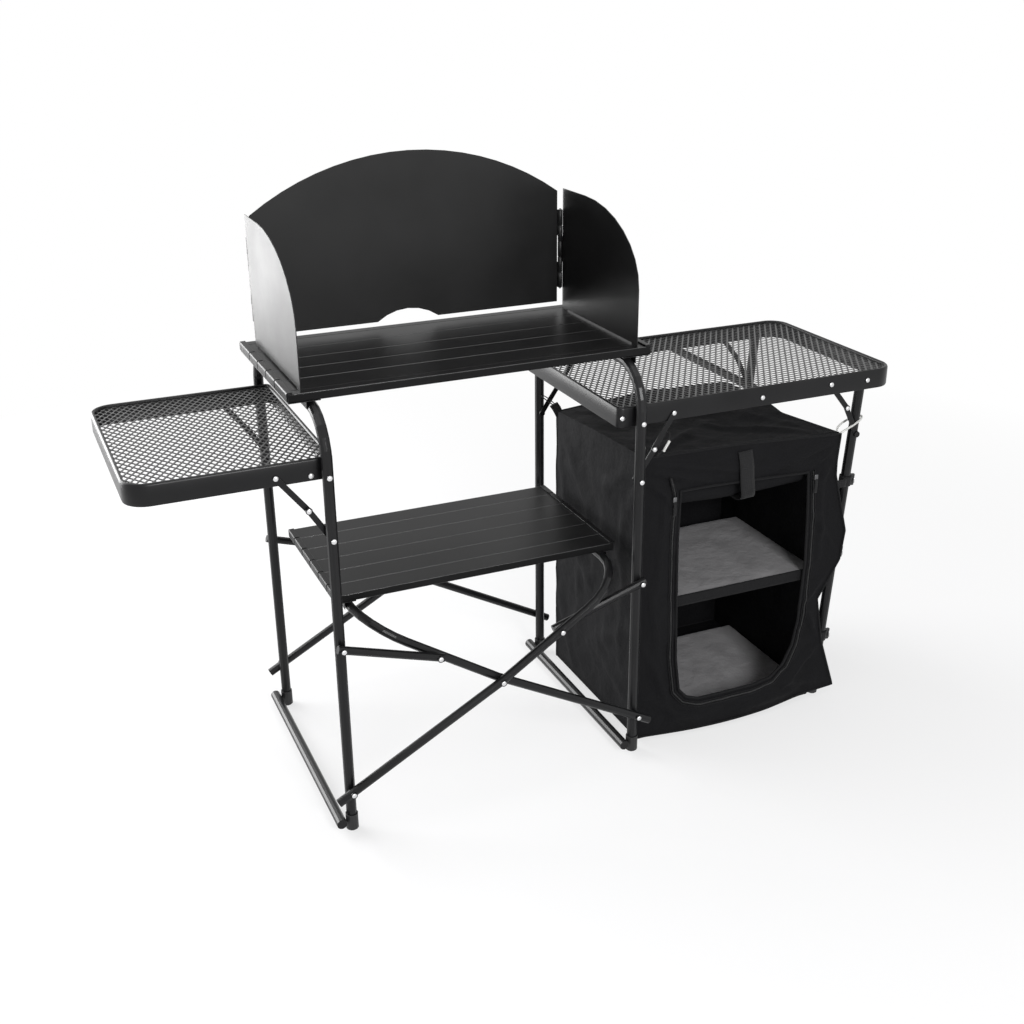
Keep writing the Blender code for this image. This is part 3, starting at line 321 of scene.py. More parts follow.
def moulded_plastic(name, colour, roughness):
    made, tree, shader = new_finish(name)
    grain = place_group(tree, POWDER_GRAIN, Grain_Scale=1400.0, Cloud_Scale=30.0)
    painted_edge_light = place_group(tree, PAINTED_EDGE_HIGHLIGHT, Width=0.0015)
    # Painted highlight: the edges are painted paler grey.
    base = mixed(tree, calculate(tree, "MULTIPLY", painted_edge_light.outputs["Mask"], 0.5), colour, (0.09, 0.09, 0.09))
    coat(tree, shader, base, grain.outputs["Cloud"], 0.3, 0.7, roughness - 0.08, roughness + 0.08)
    soften(tree, shader, 0.001, grain.outputs["Grain"], 0.35)
    return made


def bare_steel(name, colour, roughness):
    made, tree, shader = new_finish(name)
    grain = place_group(tree, POWDER_GRAIN, Grain_Scale=700.0, Cloud_Scale=120.0)
    dull = tuple(part * 0.6 for part in colour)
    base = mixed(tree, ramp(tree, grain.outputs["Cloud"], 0.35, 0.75), colour, dull)
    coat(tree, shader, base, grain.outputs["Cloud"], 0.3, 0.7, roughness - 0.08, roughness + 0.12)
    preset(shader, Metallic=1.0)
    tree.links.new(relief(tree, grain.outputs["Grain"], 0.15, 0.0003), shader.inputs["Normal"])
    return made


TUBE_COAT = coated_metal("tube_powder_coat", (0.0045, 0.0045, 0.005), 0.30, 0.08, 0.20, 0.02, 0.26)
RAIL_COAT = coated_metal("rail_powder_coat", (0.0045, 0.0045, 0.005), 0.34, 0.10, 0.30, 0.03, 0.24)
BOARD_COAT = coated_metal("board_powder_coat", (0.0032, 0.0032, 0.0034), 0.36, 0.14, 0.25, 0.015, 0.13,
                          0.0016)
SCREEN_COAT = coated_metal("windscreen_powder_coat", (0.005, 0.005, 0.0052), 0.40, 0.12, 0.30, 0.02, 0.28,
                           0.0006)
MESH_COAT = coated_metal("mesh_powder_coat", (0.012, 0.012, 0.0122), 0.42, 0.10, 0.2, 0.04, 0.60, 0.0005)
FOOT_PLASTIC = moulded_plastic("foot_plastic", (0.006, 0.006, 0.0065), 0.55)
# Painted highlight: the board's coat, painted paler so that the slat edges show as light lines.
SLAT_EDGE_HIGHLIGHT_COAT = coated_metal("slat_edge_painted_highlight_coat", (0.014, 0.014, 0.0145), 0.30, 0.05, 0.1, 0.0, 0.9, 0.0004)
BUCKLE_PLASTIC = moulded_plastic("buckle_plastic", (0.006, 0.006, 0.0065), 0.42)
RIVET_STEEL = bare_steel("rivet_steel", (0.80, 0.80, 0.81), 0.30)
PIN_STEEL = bare_steel("pin_steel", (0.16, 0.16, 0.165), 0.38)
CABINET_CLOTH = cloth("cabinet_cloth", (0.0042, 0.0042, 0.0049), 2400.0, 0.30, 0.0, 0.80, 0.12)
BOARD_CLOTH = cloth("board_cloth", (0.29, 0.285, 0.292), 3000.0, 0.20, 0.02)
PIPING_CLOTH = cloth("piping_cloth", (0.004, 0.004, 0.0046), 3600.0, 0.5, 0.02, level=0.2)
WEBBING = cloth("strap_webbing", (0.006, 0.006, 0.0066), 1500.0, 0.8, 0.04)
ELASTIC = cloth("elastic_cord", (0.62, 0.62, 0.60), 4200.0, 0.5, 0.1)
ZIP_COIL = cloth("zip_coil", (0.004, 0.004, 0.0045), 4800.0, 0.9, 0.01, 0.5, 0.4)


# Pieces

def mesh_of(name, edit):
    bmesh.ops.recalc_face_normals(edit, faces=edit.faces)
    mesh = bpy.data.meshes.new(name)
    edit.to_mesh(mesh)
    edit.free()
    return mesh


def in_scene(name, data):
    made = bpy.data.objects.new(name, data)
    bpy.context.scene.collection.objects.link(made)
    return made


def new_piece(name, edit, look, body, smooth=True, sharp=False):
    """A piece from an edited mesh; sharp keeps the edges that turn by more than SHARP."""
    mesh = mesh_of(name, edit)
    piece = in_scene(name, mesh)
    mesh.materials.append(look)
    if smooth:
        mesh.shade_smooth()
    if sharp:
        mesh.set_sharp_from_angle(angle=SHARP)
    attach(piece, body)
    return piece


def add_modifier(piece, kind, **settings):
    made = piece.modifiers.new(kind.lower(), kind)
    for key, value in settings.items():
        setattr(made, key, value)
    return made


def skin(edit, rows, closed=False):
    """Faces between rows of vertices; closed joins each row's end to its start."""
    count = len(rows[0])
    for low, high in zip(rows, rows[1:]):
        for k in range(count if closed else count - 1):
            n = (k + 1) % count
            edit.faces.new((low[k], low[n], high[n], high[k]))


def circle(count):
    """Cosine and sine at even steps round a circle."""
    angles = [2 * math.pi * step / count for step in range(count)]
    return [(math.cos(angle), math.sin(angle)) for angle in angles]


def resampled(points, count):
    """Points at equal steps along a polyline."""
    lengths = [0.0]
    for a, b in zip(points, points[1:]):
        lengths.append(lengths[-1] + (b - a).length)
    made, k = [], 0
    for index in range(count):
        want = lengths[-1] * index / (count - 1)
        while k < len(points) - 2 and lengths[k + 1] < want:
            k += 1
        span = max(lengths[k + 1] - lengths[k], 1e-9)
        made.append(points[k].lerp(points[k + 1], min(1.0, (want - lengths[k]) / span)))
    return made


def smoothed(points, rounds):
    """Rounds a polyline's corners by cutting them."""
    line = list(points)
    for _ in range(rounds):
        cut = []
        for a, b in zip(line, line[1:]):
            cut += [a.lerp(b, 0.25), a.lerp(b, 0.75)]
        line = [line[0], *cut[1:-1], line[-1]]
    return line


def cord_piece(name, points, radius, look, body, closed=False):
    """A round cord or piping along points."""
    edit = bmesh.new()
    count, sides = len(points), CORD_SIDES
    rings, across = [], None
    for k, place in enumerate(points):
        ahead = points[(k + 1) % count] if closed or k < count - 1 else place
        behind = points[k - 1] if closed or k > 0 else place
        along = (ahead - behind).normalized()
        if across is None:
            across = along.orthogonal().normalized()
        across = (across - along * across.dot(along)).normalized()
        other = along.cross(across)
        rings.append([edit.verts.new(place + (across * c + other * s) * radius) for c, s in circle(sides)])
    for low, high in zip(rings, rings[1:] + (rings[:1] if closed else [])):
        start = min(range(sides), key=lambda n: (high[n].co - low[0].co).length) if high is rings[0] else 0
        for k in range(sides):
            n = (k + 1) % sides
            edit.faces.new((low[k], low[n], high[(n + start) % sides], high[(k + start) % sides]))
    if not closed:
        edit.faces.new(rings[0])
        edit.faces.new(rings[-1])
    return new_piece(name, edit, look, body)


def sheet_piece(name, edit, look, thickness, body="right_frame", sharp=False):
    """Cloth or webbing, with its thickness on both sides of the surface."""
    piece = new_piece(name, edit, look, body, sharp=sharp)
    add_modifier(piece, "SOLIDIFY", thickness=thickness, offset=0.0)
    return piece


def strap_piece(name, points, across, width, thickness, body="right_frame", look=WEBBING):
    """A strap whose middle line runs along points, and its width along across."""
    edit = bmesh.new()
    rows = []
    for place in points:
        side = across * (width / 2)
        rows.append([edit.verts.new(place + side * share) for share in (-1, -0.5, 0, 0.5, 1)])
    skin(edit, rows)
    return sheet_piece(name, edit, look, thickness, body)


def block(name, middle, size, round_by, look, body, turn=None):
    """A small moulded block with rounded edges."""
    edit = bmesh.new()
    bmesh.ops.create_cube(edit, size=1.0)
    bmesh.ops.scale(edit, vec=Vector(size), verts=edit.verts)
    if turn is not None:
        bmesh.ops.rotate(edit, cent=Vector(), matrix=turn, verts=edit.verts)
    bmesh.ops.translate(edit, vec=middle, verts=edit.verts)
    piece = new_piece(name, edit, look, body)
    add_modifier(piece, "BEVEL", width=round_by, segments=3)
    return piece


# Rivets

def head_mesh():
    """A domed head that faces +Z, on a short collar, with a small flat on its crown."""
    profile = [(0.0043, 0.0), (0.0046, 0.0018), (0.0045, 0.0023), (0.0038, 0.0030), (0.0026, 0.0035),
               (0.0012, 0.0037)]
    edit = bmesh.new()
    rings = []
    for radius, height in profile:
        rings.append([edit.verts.new((radius * c, radius * s, height)) for c, s in circle(24)])
    skin(edit, rings, closed=True)
    edit.faces.new(rings[-1])
    edit.faces.new(list(reversed(rings[0])))
    return mesh_of("rivet_head", edit)


def rivet_heads():
    """Zinc heads on every riveted joint: name, body, x, z and the face that each head sits on."""
    link_x, link_z = 0.1166, 0.3167
    left_leg, right_leg = LEFT_LEG_Y + LEG_RADIUS, RIGHT_LEG_Y + LEG_RADIUS
    places = [
        ("left_arm_pivot", "left_frame", -FRAME_X, ARM_PIVOT, LEFT_ARM_FACE),
        ("left_link_pivot", "left_frame", -FRAME_X, LINK_PIVOT, LEFT_LINK_FACE),
        ("left_brace_foot", "left_frame", -FRAME_X, BRACE_FOOT, left_leg),
        ("left_table_pivot", "left_frame", -FRAME_X, TABLE_PIVOT, left_leg),
        ("left_brace_top", "left_table", -0.367, BRACE_TOP, LEFT_RAIL_Y),
        ("left_stop", "left_table", -0.310, 0.6745, LEFT_RAIL_Y),
        ("left_link_end", "left_links", -link_x, link_z, LEFT_LINK_FACE),
        ("left_elbow", "left_lower_braces", -0.319, 0.617, 0.2207),
        ("right_arm_pivot", "right_frame", FRAME_X, ARM_PIVOT, RIGHT_ARM_FACE),
        ("right_link_pivot", "right_frame", FRAME_X, LINK_PIVOT, RIGHT_LINK_FACE),
        ("right_brace_foot", "right_frame", FRAME_X, BRACE_FOOT, right_leg),
        ("right_table_pivot", "right_frame", FRAME_X, TABLE_PIVOT, right_leg),
        ("right_brace_top", "right_table", 0.362, BRACE_TOP, RIGHT_RAIL_Y),
        ("right_inner_end", "right_table", 0.2575, 0.6834, RIGHT_RAIL_Y),
        ("crossbar_end", "right_table", 0.549, 0.6817, RIGHT_RAIL_Y),
        ("outer_brace_top", "right_table", 0.702, 0.686, RIGHT_RAIL_Y),
        ("outer_leg_pivot", "right_table", OUTER_PIVOT_X, 0.684, RIGHT_RAIL_Y),
        ("right_elbow", "right_lower_braces", 0.322, 0.617, 0.2044),
        ("outer_elbow", "outer_upper_braces", 0.747, 0.632, 0.1965),
        ("arm_centre", "inner_scissor", 0.0, 0.241, LEFT_ARM_FACE),
        ("right_link_end", "outer_scissor", link_x, link_z, LEFT_ARM_FACE),
    ]
    mesh = head_mesh()
    mesh.materials.append(RIVET_STEEL)
    mesh.shade_smooth()
    for name, body, x, z, face in places:
        for depth, way in (("front", -1), ("rear", 1)):
            piece = in_scene(f"rivet_{name}_{depth}", mesh)
            facing = Matrix.Rotation(-way * math.pi / 2, 4, "X")
            piece.matrix_world = Matrix.Translation(at(x, way * face, z)) @ facing
            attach(piece, body)


# Side tables' expanded mesh

def corner_cuts(low, high, radius, outer):
    """Points and outward directions of the lines that round off the two corners at the outer end."""
    x = high.x - radius if outer > 0 else low.x + radius
    cuts = []
    for side in (-1, 1):
        y = (high.y - radius) if side > 0 else (low.y + radius)
        for degrees in (15, 30, 45, 60, 75):
            angle = math.radians(degrees)
            away = Vector((outer * math.cos(angle), side * math.sin(angle), 0))
            cuts.append((Vector((x, y, 0)) + away * radius, away))
    return cuts


def expanded_mesh(name, node, body, outer):
    """Staggered diamonds cut and stretched from one sheet, its strands tipped as the cutting leaves them."""
    low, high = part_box(node)
    low, high = Vector(low), Vector(high)
    middle = (low + high) / 2
    half_long, half_short = MESH_LONG / 2, MESH_SHORT / 2
    reach = half_long * half_short / math.hypot(half_long, half_short)
    share = 1 - MESH_STRAND / 2 / reach
    corners = [(0, half_long), (half_short, 0), (0, -half_long), (-half_short, 0)]
    edge, hole = [], []
    for k in range(4):
        a, b = Vector(corners[k]), Vector(corners[(k + 1) % 4])
        edge += [a, a.lerp(b, 0.5)]
        blunt = 0.90 if k % 2 == 0 else 0.96
        hole += [a * share * blunt, a.lerp(b, 0.5) * share * 1.04]
    edit = bmesh.new()
    columns = int((high.x - low.x) / half_short / 2) + 2
    rows = int((high.y - low.y) / half_long / 2) + 2
    for i in range(-columns, columns + 1):
        for j in range(-rows, rows + 1):
            if (i + j) % 2:
                continue
            x, y = middle.x + i * half_short, middle.y + j * half_long
            beside = max(low.x - x, x - high.x) > half_short
            if beside or max(low.y - y, y - high.y) > half_long:
                continue
            outside = [edit.verts.new((x + p.x, y + p.y, middle.z)) for p in edge]
            inside = [edit.verts.new((x + p.x, y + p.y, middle.z + 0.0005 * p.y / half_long)) for p in hole]
            skin(edit, [outside, inside], closed=True)
    bmesh.ops.remove_doubles(edit, verts=edit.verts, dist=0.00005)
    cuts = [(Vector((low.x, 0, 0)), Vector((-1, 0, 0))), (Vector((high.x, 0, 0)), Vector((1, 0, 0)))]
    cuts += [(Vector((0, low.y, 0)), Vector((0, -1, 0))), (Vector((0, high.y, 0)), Vector((0, 1, 0)))]
    cuts += corner_cuts(low, high, MESH_CORNER, outer)
    for place, away in cuts:
        everything = list(edit.verts) + list(edit.edges) + list(edit.faces)
        bmesh.ops.bisect_plane(edit, geom=everything, dist=1e-6, plane_co=place, plane_no=away,
                               clear_outer=True)
    piece = new_piece(name, edit, MESH_COAT, body, smooth=False)
    add_modifier(piece, "SOLIDIFY", thickness=MESH_THICKNESS, offset=0.0)
    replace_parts(piece, node)


# Rims, slat ends and hinge knuckles

def rounded_outline(low, high, radii, steps=12):
    """A rectangle with rounded corners, from the low corner round counter-clockwise."""
    centres = [(low.x, low.y, 180), (high.x, low.y, 270), (high.x, high.y, 0), (low.x, high.y, 90)]
    points = []
    for (x, y, start), radius in zip(centres, radii):
        inward_x = radius if x == low.x else -radius
        inward_y = radius if y == low.y else -radius
        for step in range(steps + 1):
            angle = math.radians(start + 90 * step / steps)
            away = Vector((math.cos(angle), math.sin(angle), 0))
            points.append((Vector((x + inward_x, y + inward_y, 0)) + away * radius, away))
    return points


RIM_PROFILE = [
    (0.0000, 0.0030), (0.0000, 0.0340), (0.0009, 0.0363), (0.0028, 0.0378), (0.0048, 0.0376),
    (0.0066, 0.0362), (0.0074, 0.0345), (0.0066, 0.0336), (0.0052, 0.0350), (0.0034, 0.0350),
    (0.0024, 0.0335), (0.0022, 0.0300), (0.0022, 0.0044), (0.0029, 0.0034), (0.0029, 0.0012),
    (0.0021, 0.0002), (0.0008, 0.0006),
]


def table_rim(name, node, body, outer, rail_y):
    """A pressed rim: upright wall, rolled bead along the top that holds the mesh, and a hem below."""
    low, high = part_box(node)
    low, high = Vector((low[0], -rail_y, low[2])), Vector((high[0], rail_y, high[2]))
    big, small = RIM_OUTER_CORNER, RIM_INNER_CORNER
    radii = [big, small, small, big] if outer < 0 else [small, big, big, small]
    outline = rounded_outline(low, high, radii)
    edit = bmesh.new()
    rings = []
    for place, away in outline:
        rings.append([edit.verts.new((place.x - away.x * inset, place.y - away.y * inset, low.z + rise))
                      for inset, rise in RIM_PROFILE])
    count = len(RIM_PROFILE)
    for k, ring in enumerate(rings):
        other = rings[(k + 1) % len(rings)]
        for n in range(count):
            m = (n + 1) % count
            edit.faces.new((ring[n], other[n], other[m], ring[m]))
    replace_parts(new_piece(name, edit, RAIL_COAT, body, sharp=True), node)


def slat_ends(board, slats, half_length, top):
    """Caps that wrap each slat's end over the rail, with a seam between neighbours."""
    for side, way in (("left", -1), ("right", 1)):
        edit = bmesh.new()
        for front, rear in zip(slats, slats[1:]):
            low, high = front + 0.0020, rear - 0.0020
            outline = [(half_length + 0.0015, top - 0.0135), (half_length + 0.0017, top - 0.0012),
                       (half_length + 0.0006, top + 0.0010), (half_length - SLAT_END_LIP, top + 0.0013)]
            inner = [(half_length + 0.0002, top - 0.0135), (half_length + 0.0002, top + 0.0001),
                     (half_length + 0.0001, top + 0.0001), (half_length - SLAT_END_LIP, top + 0.0001)]
            sections = []
            for y in (low, high):
                sections.append([edit.verts.new(at(way * x, y, z)) for x, z in outline + inner[::-1]])
            skin(edit, sections, closed=True)
            edit.faces.new(sections[0])
            edit.faces.new(sections[1][::-1])
        new_piece(f"{board}_{side}_slat_ends", edit, BOARD_COAT, board, smooth=False)


def slat_edges(board, slats, half_length, top):
    """The rounded long edges of the slats, which catch the light on both sides of each seam; their coat is
    painted paler than the board's as a highlight.
    """
    edit = bmesh.new()
    places = [slats[0] + 0.0007, slats[-1] - 0.0007]
    for seam in slats[1:-1]:
        places += [seam - 0.0011, seam + 0.0011]
    for y in places:
        rings = []
        for x in (SLAT_END_LIP - half_length, half_length - SLAT_END_LIP):
            bead = [at(x, y + 0.0009 * c, top - 0.0006 + 0.0007 * s) for c, s in circle(16)[:9]]
            rings.append([edit.verts.new(place) for place in bead])
        skin(edit, rings)
        edit.faces.new((rings[0][0], rings[0][8], rings[1][8], rings[1][0]))
        edit.faces.new(rings[0])
        edit.faces.new(rings[1][::-1])
    new_piece(f"{board}_slat_edges", edit, SLAT_EDGE_HIGHLIGHT_COAT, board, sharp=True)


def hinge_knuckles():
    """Curled knuckles that close the seam between the back and each wing."""
    for side, way in (("left", -1), ("right", 1)):
        for number in range(5):
            low = HINGE_START + HINGE_PITCH * number + 0.0006
            high = low + 0.0288
            body = "windscreen" if number % 2 == 0 else f"{side}_wing"
            edit = bmesh.new()
            rings = []
            for radius, z in ((0.0040, low), (0.0047, low + 0.0007), (0.0047, high - 0.0007), (0.0040, high)):
                pin = at(way * HINGE_X, HINGE_Y, z)
                rings.append([edit.verts.new(pin + Vector((c, s, 0)) * radius) for c, s in circle(20)])
            skin(edit, rings, closed=True)
            edit.faces.new(rings[0][::-1])
            edit.faces.new(rings[-1])
            new_piece(f"{side}_hinge_knuckle_{number + 1}", edit, SCREEN_COAT, body, sharp=True)


# Fabric cabinet

CABINET_PIECES = []


def hang(piece):
    """Marks a cabinet piece, which gets a mesh of its own at the end."""
    CABINET_PIECES.append(piece)
    return piece


def ridge(x, z, a, b, height, width):
    """The height at x, z of a fold that runs from a to b."""
    place, start, end = Vector((x, z)), Vector(a), Vector(b)
    along = end - start
    share = max(0.0, min(1.0, (place - start).dot(along) / along.length_squared))
    away = (place - start - along * share).length
    fade = 0.35 + 0.65 * math.sin(math.pi * (0.12 + 0.76 * share))
    return height * fade * math.exp(-((away / width) ** 2))


FRONT_FOLDS = [
    ((0.312, 0.592), (0.500, 0.548), 0.009, 0.009),
    ((0.318, 0.572), (0.440, 0.537), 0.007, 0.008),
    ((0.320, 0.548), (0.372, 0.500), 0.007, 0.008),
    ((0.732, 0.578), (0.580, 0.535), 0.009, 0.010),
    ((0.738, 0.562), (0.672, 0.530), 0.008, 0.008),
    ((0.736, 0.550), (0.690, 0.480), 0.007, 0.009),
    ((0.352, 0.530), (0.338, 0.330), 0.005, 0.009),
    ((0.325, 0.470), (0.335, 0.400), 0.004, 0.008),
    ((0.326, 0.330), (0.352, 0.150), 0.006, 0.010),
    ((0.318, 0.210), (0.385, 0.045), 0.007, 0.009),
    ((0.316, 0.090), (0.440, 0.030), 0.006, 0.009),
    ((0.700, 0.480), (0.712, 0.330), 0.006, 0.008),
    ((0.757, 0.330), (0.690, 0.420), 0.007, 0.009),
    ((0.757, 0.315), (0.688, 0.240), 0.007, 0.008),
    ((0.725, 0.140), (0.690, 0.210), 0.007, 0.008),
    ((0.735, 0.130), (0.640, 0.050), 0.009, 0.009),
    ((0.765, 0.030), (0.640, 0.060), 0.008, 0.009),
    ((0.768, 0.024), (0.690, 0.020), 0.005, 0.007),
    ((0.380, 0.040), (0.560, 0.050), 0.005, 0.010),
    ((0.520, 0.028), (0.680, 0.034), 0.005, 0.009),
]
SIDE_FOLDS = [
    ((-0.195, 0.592), (-0.050, 0.490), 0.008, 0.012),
    ((-0.190, 0.560), (-0.120, 0.440), 0.006, 0.010),
    ((0.165, 0.575), (0.050, 0.450), 0.009, 0.013),
    ((0.160, 0.560), (0.125, 0.380), 0.007, 0.011),
    ((-0.185, 0.420), (-0.060, 0.330), 0.006, 0.013),
    ((0.155, 0.380), (0.010, 0.260), 0.008, 0.014),
    ((-0.170, 0.240), (0.010, 0.120), 0.007, 0.013),
    ((0.155, 0.180), (0.080, 0.030), 0.008, 0.012),
    ((-0.190, 0.060), (-0.040, 0.120), 0.007, 0.012),
    ((-0.120, 0.540), (-0.130, 0.060), 0.004, 0.011),
    ((0.060, 0.330), (0.070, 0.060), 0.004, 0.012),
]
TOP_FOLDS = [
    ((0.320, -0.185), (0.500, -0.050), 0.009, 0.011),
    ((0.316, -0.140), (0.430, 0.020), 0.006, 0.011),
    ((0.702, -0.185), (0.540, -0.030), 0.009, 0.012),
    ((0.702, -0.150), (0.640, 0.000), 0.006, 0.011),
    ((0.320, 0.150), (0.450, 0.050), 0.008, 0.012),
    ((0.700, 0.150), (0.590, 0.040), 0.008, 0.013),
    ((0.380, -0.190), (0.640, -0.184), 0.005, 0.008),
]


def folded(folds, u, v, crumple, seed):
    total = sum(ridge(u, v, *fold) for fold in folds)
    total += crumple * noise.fractal(Vector((u * 9, v * 9, seed)), 1.0, 2.0, 4)
    creases = abs(noise.noise(Vector((u * 16 + seed, v * 16, seed))))
    creases += 0.5 * abs(noise.noise(Vector((u * 34, v * 34 - seed, seed))))
    return total + crumple * 0.8 * (0.35 - creases)


DOOR = [
    [(0.397, 0.100), (0.414, 0.080), (0.442, 0.070), (0.571, 0.070), (0.612, 0.077), (0.640, 0.100)],
    [(0.640, 0.100), (0.660, 0.140), (0.670, 0.193), (0.676, 0.326), (0.672, 0.430), (0.666, 0.515)],
    [(0.666, 0.515), (0.600, 0.518), (0.501, 0.522), (0.440, 0.524), (0.383, 0.524)],
    [(0.383, 0.524), (0.381, 0.420), (0.384, 0.299), (0.388, 0.170), (0.397, 0.100)],
]
PANEL = [
    [(0.3055, 0.010), (0.420, 0.009), (0.600, 0.010), (0.772, 0.020)],
    [(0.772, 0.020), (0.733, 0.133), (0.714, 0.232), (0.760, 0.312), (0.767, 0.374), (0.732, 0.498),
     (0.731, 0.530), (0.735, 0.583)],
    [(0.735, 0.583), (0.620, 0.590), (0.506, 0.597), (0.3055, 0.601)],
    [(0.3055, 0.601), (0.306, 0.400), (0.306, 0.200), (0.3055, 0.010)],
]
SIDE_COUNTS = (72, 96, 72, 96)
PANEL_RINGS = 24


def loop_of(sides):
    points = []
    for side, count in zip(sides, SIDE_COUNTS):
        points += resampled([Vector(p) for p in side], count + 1)[:-1]
    return points


def widened(loop, by):
    """The closed loop moved outwards by a distance, in the panel's plane."""
    made = []
    for k, place in enumerate(loop):
        along = loop[(k + 2) % len(loop)] - loop[k - 2]
        made.append(place + Vector((along.y, -along.x)).normalized() * by)
    return made


def front_panel():
    """The front, from the door's edge out to the sewn edge that is tied to the outer leg."""
    door, panel = loop_of(DOOR), loop_of(PANEL)
    edit = bmesh.new()
    rings = []
    for k in range(PANEL_RINGS + 1):
        share = (k / PANEL_RINGS) ** 1.15
        ring = []
        for inner, outer in zip(door, panel):
            place = inner.lerp(outer, share)
            near_leg = max(0.0, min(1.0, (place.x - 0.705) / 0.03))
            calm = 1 - 0.75 * near_leg
            calm *= 0.35 + 0.65 * math.sin(math.pi * min(1.0, 0.1 + share))
            depth = folded(FRONT_FOLDS, place.x, place.y, FRONT_CRUMPLE, FOLD_SEED) * calm
            swell = belly(place.x, place.y) * min(1.0, 0.3 + share)
            ring.append(edit.verts.new(at(place.x, CABINET_FRONT_Y + 0.001 - depth - swell, place.y)))
        rings.append(ring)
    skin(edit, rings, closed=True)
    piece = sheet_piece("cabinet_front_panel", edit, CABINET_CLOTH, CLOTH)
    hang(piece)


def belly(x, z):
    """How far the loaded lower front swells out, and never near the legs."""
    across = max(0.0, min(1.0, (x - 0.325) / 0.37))
    return 0.017 * math.sin(math.pi * across) * math.exp(-((z / 0.15) ** 2))


def rear_droop(x, depth):
    """How far the top falls away towards the rear left corner, which hangs from a slack cord."""
    return 0.022 * depth ** 1.5 * max(0.0, 1 - (x - CABINET_LEFT) / 0.22) ** 1.5


def corner_pull(z, depth):
    """How far the elastic at the front right corner pulls the top of the right side out, towards the leg."""
    if depth < 0.40:
        pull = 0.022 - 0.032 * depth / 0.40
    else:
        pull = -0.010 * max(0.0, 1 - (depth - 0.40) / 0.14)
    return pull * max(0.0, min(1.0, (z - 0.40) / 0.18)) ** 1.5


def body_point(share, depth):
    """A place on the cabinet's walls: round its cross-section by share, and back by depth."""
    y = CABINET_FRONT_Y + 0.003 + (CABINET_BACK_Y - CABINET_FRONT_Y - 0.003) * depth
    side, along = int(share) % 4, share - int(share)
    calm = math.sin(math.pi * min(1.0, max(0.0, along))) ** 0.5
    calm *= math.sin(math.pi * (0.08 + 0.84 * depth)) ** 0.5
    tall = CABINET_TOP - CABINET_BOTTOM
    if side == 0:
        z = CABINET_BOTTOM + (tall - rear_droop(CABINET_LEFT, depth)) * along
        return at(CABINET_LEFT - folded(SIDE_FOLDS, y, z, 0.006, 1.7) * calm, y, z)
    if side == 1:
        x = CABINET_LEFT + (CABINET_RIGHT + corner_pull(CABINET_TOP, depth) - CABINET_LEFT) * along
        sag = 0.014 * along + 0.016 * math.sin(math.pi * along) * math.sin(math.pi * depth)
        sag += rear_droop(x, depth)
        return at(x, y, CABINET_TOP - sag + (folded(TOP_FOLDS, x, y, 0.006, 5.3) - 0.002) * calm)
    if side == 2:
        z = CABINET_TOP - 0.014 - (tall - 0.014) * along
        x = CABINET_RIGHT + corner_pull(z, depth) + folded(SIDE_FOLDS, -y, z, 0.006, 8.9) * calm * 0.7
        return at(x, y, z)
    x = CABINET_RIGHT - (CABINET_RIGHT - CABINET_LEFT) * along
    return at(x, y - belly(x, 0) * (1 - depth) ** 4, CABINET_BOTTOM)


def cabinet_body():
    """Sides, top, bottom and back, sewn as one bag."""
    edit = bmesh.new()
    rows = []
    for j in range(DEPTH_STEPS + 1):
        around = [body_point(k / WALL_STEPS, j / DEPTH_STEPS) for k in range(4 * WALL_STEPS)]
        rows.append([edit.verts.new(place) for place in around])
    skin(edit, rows, closed=True)
    middle = at((CABINET_LEFT + CABINET_RIGHT) / 2, CABINET_BACK_Y, (CABINET_TOP + CABINET_BOTTOM) / 2)
    last = rows[-1]
    for ring in range(1, 12):
        share = 1 - ring / 12
        made = []
        for vert in rows[-1]:
            place = middle.lerp(vert.co, share)
            swell = 0.004 * noise.fractal(Vector((place.x * 8, place.z * 8, 2.2)), 1.0, 2.0, 4)
            swell *= min(1.0, ring / 3)
            made.append(edit.verts.new((place.x, CABINET_BACK_Y + swell - 0.002, place.z)))
        skin(edit, [last, made], closed=True)
        last = made
    edit.faces.new(last)
    piece = sheet_piece("cabinet_body", edit, CABINET_CLOTH, CLOTH, sharp=True)
    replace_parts(piece, "cabinet_shell")
    hang(piece)


def cabinet_piping():
    """Bound seams round the front panel, the rear edges and the door."""
    y = CABINET_FRONT_Y - 0.0002
    front = [at(p.x, y - belly(p.x, p.y), p.y) for p in loop_of(PANEL)]
    rear = [body_point(k / WALL_STEPS, 1.0) for k in range(4 * WALL_STEPS)]
    door = [at(p.x, y - 0.0004 - 0.3 * belly(p.x, p.y), p.y) for p in loop_of(DOOR)]
    for name, line, radius in (("front_piping", front, 0.0022), ("rear_piping", rear, 0.0022),
                               ("door_binding", door, 0.0026)):
        hang(cord_piece(f"cabinet_{name}", line, radius, PIPING_CLOTH, "right_frame", closed=True))


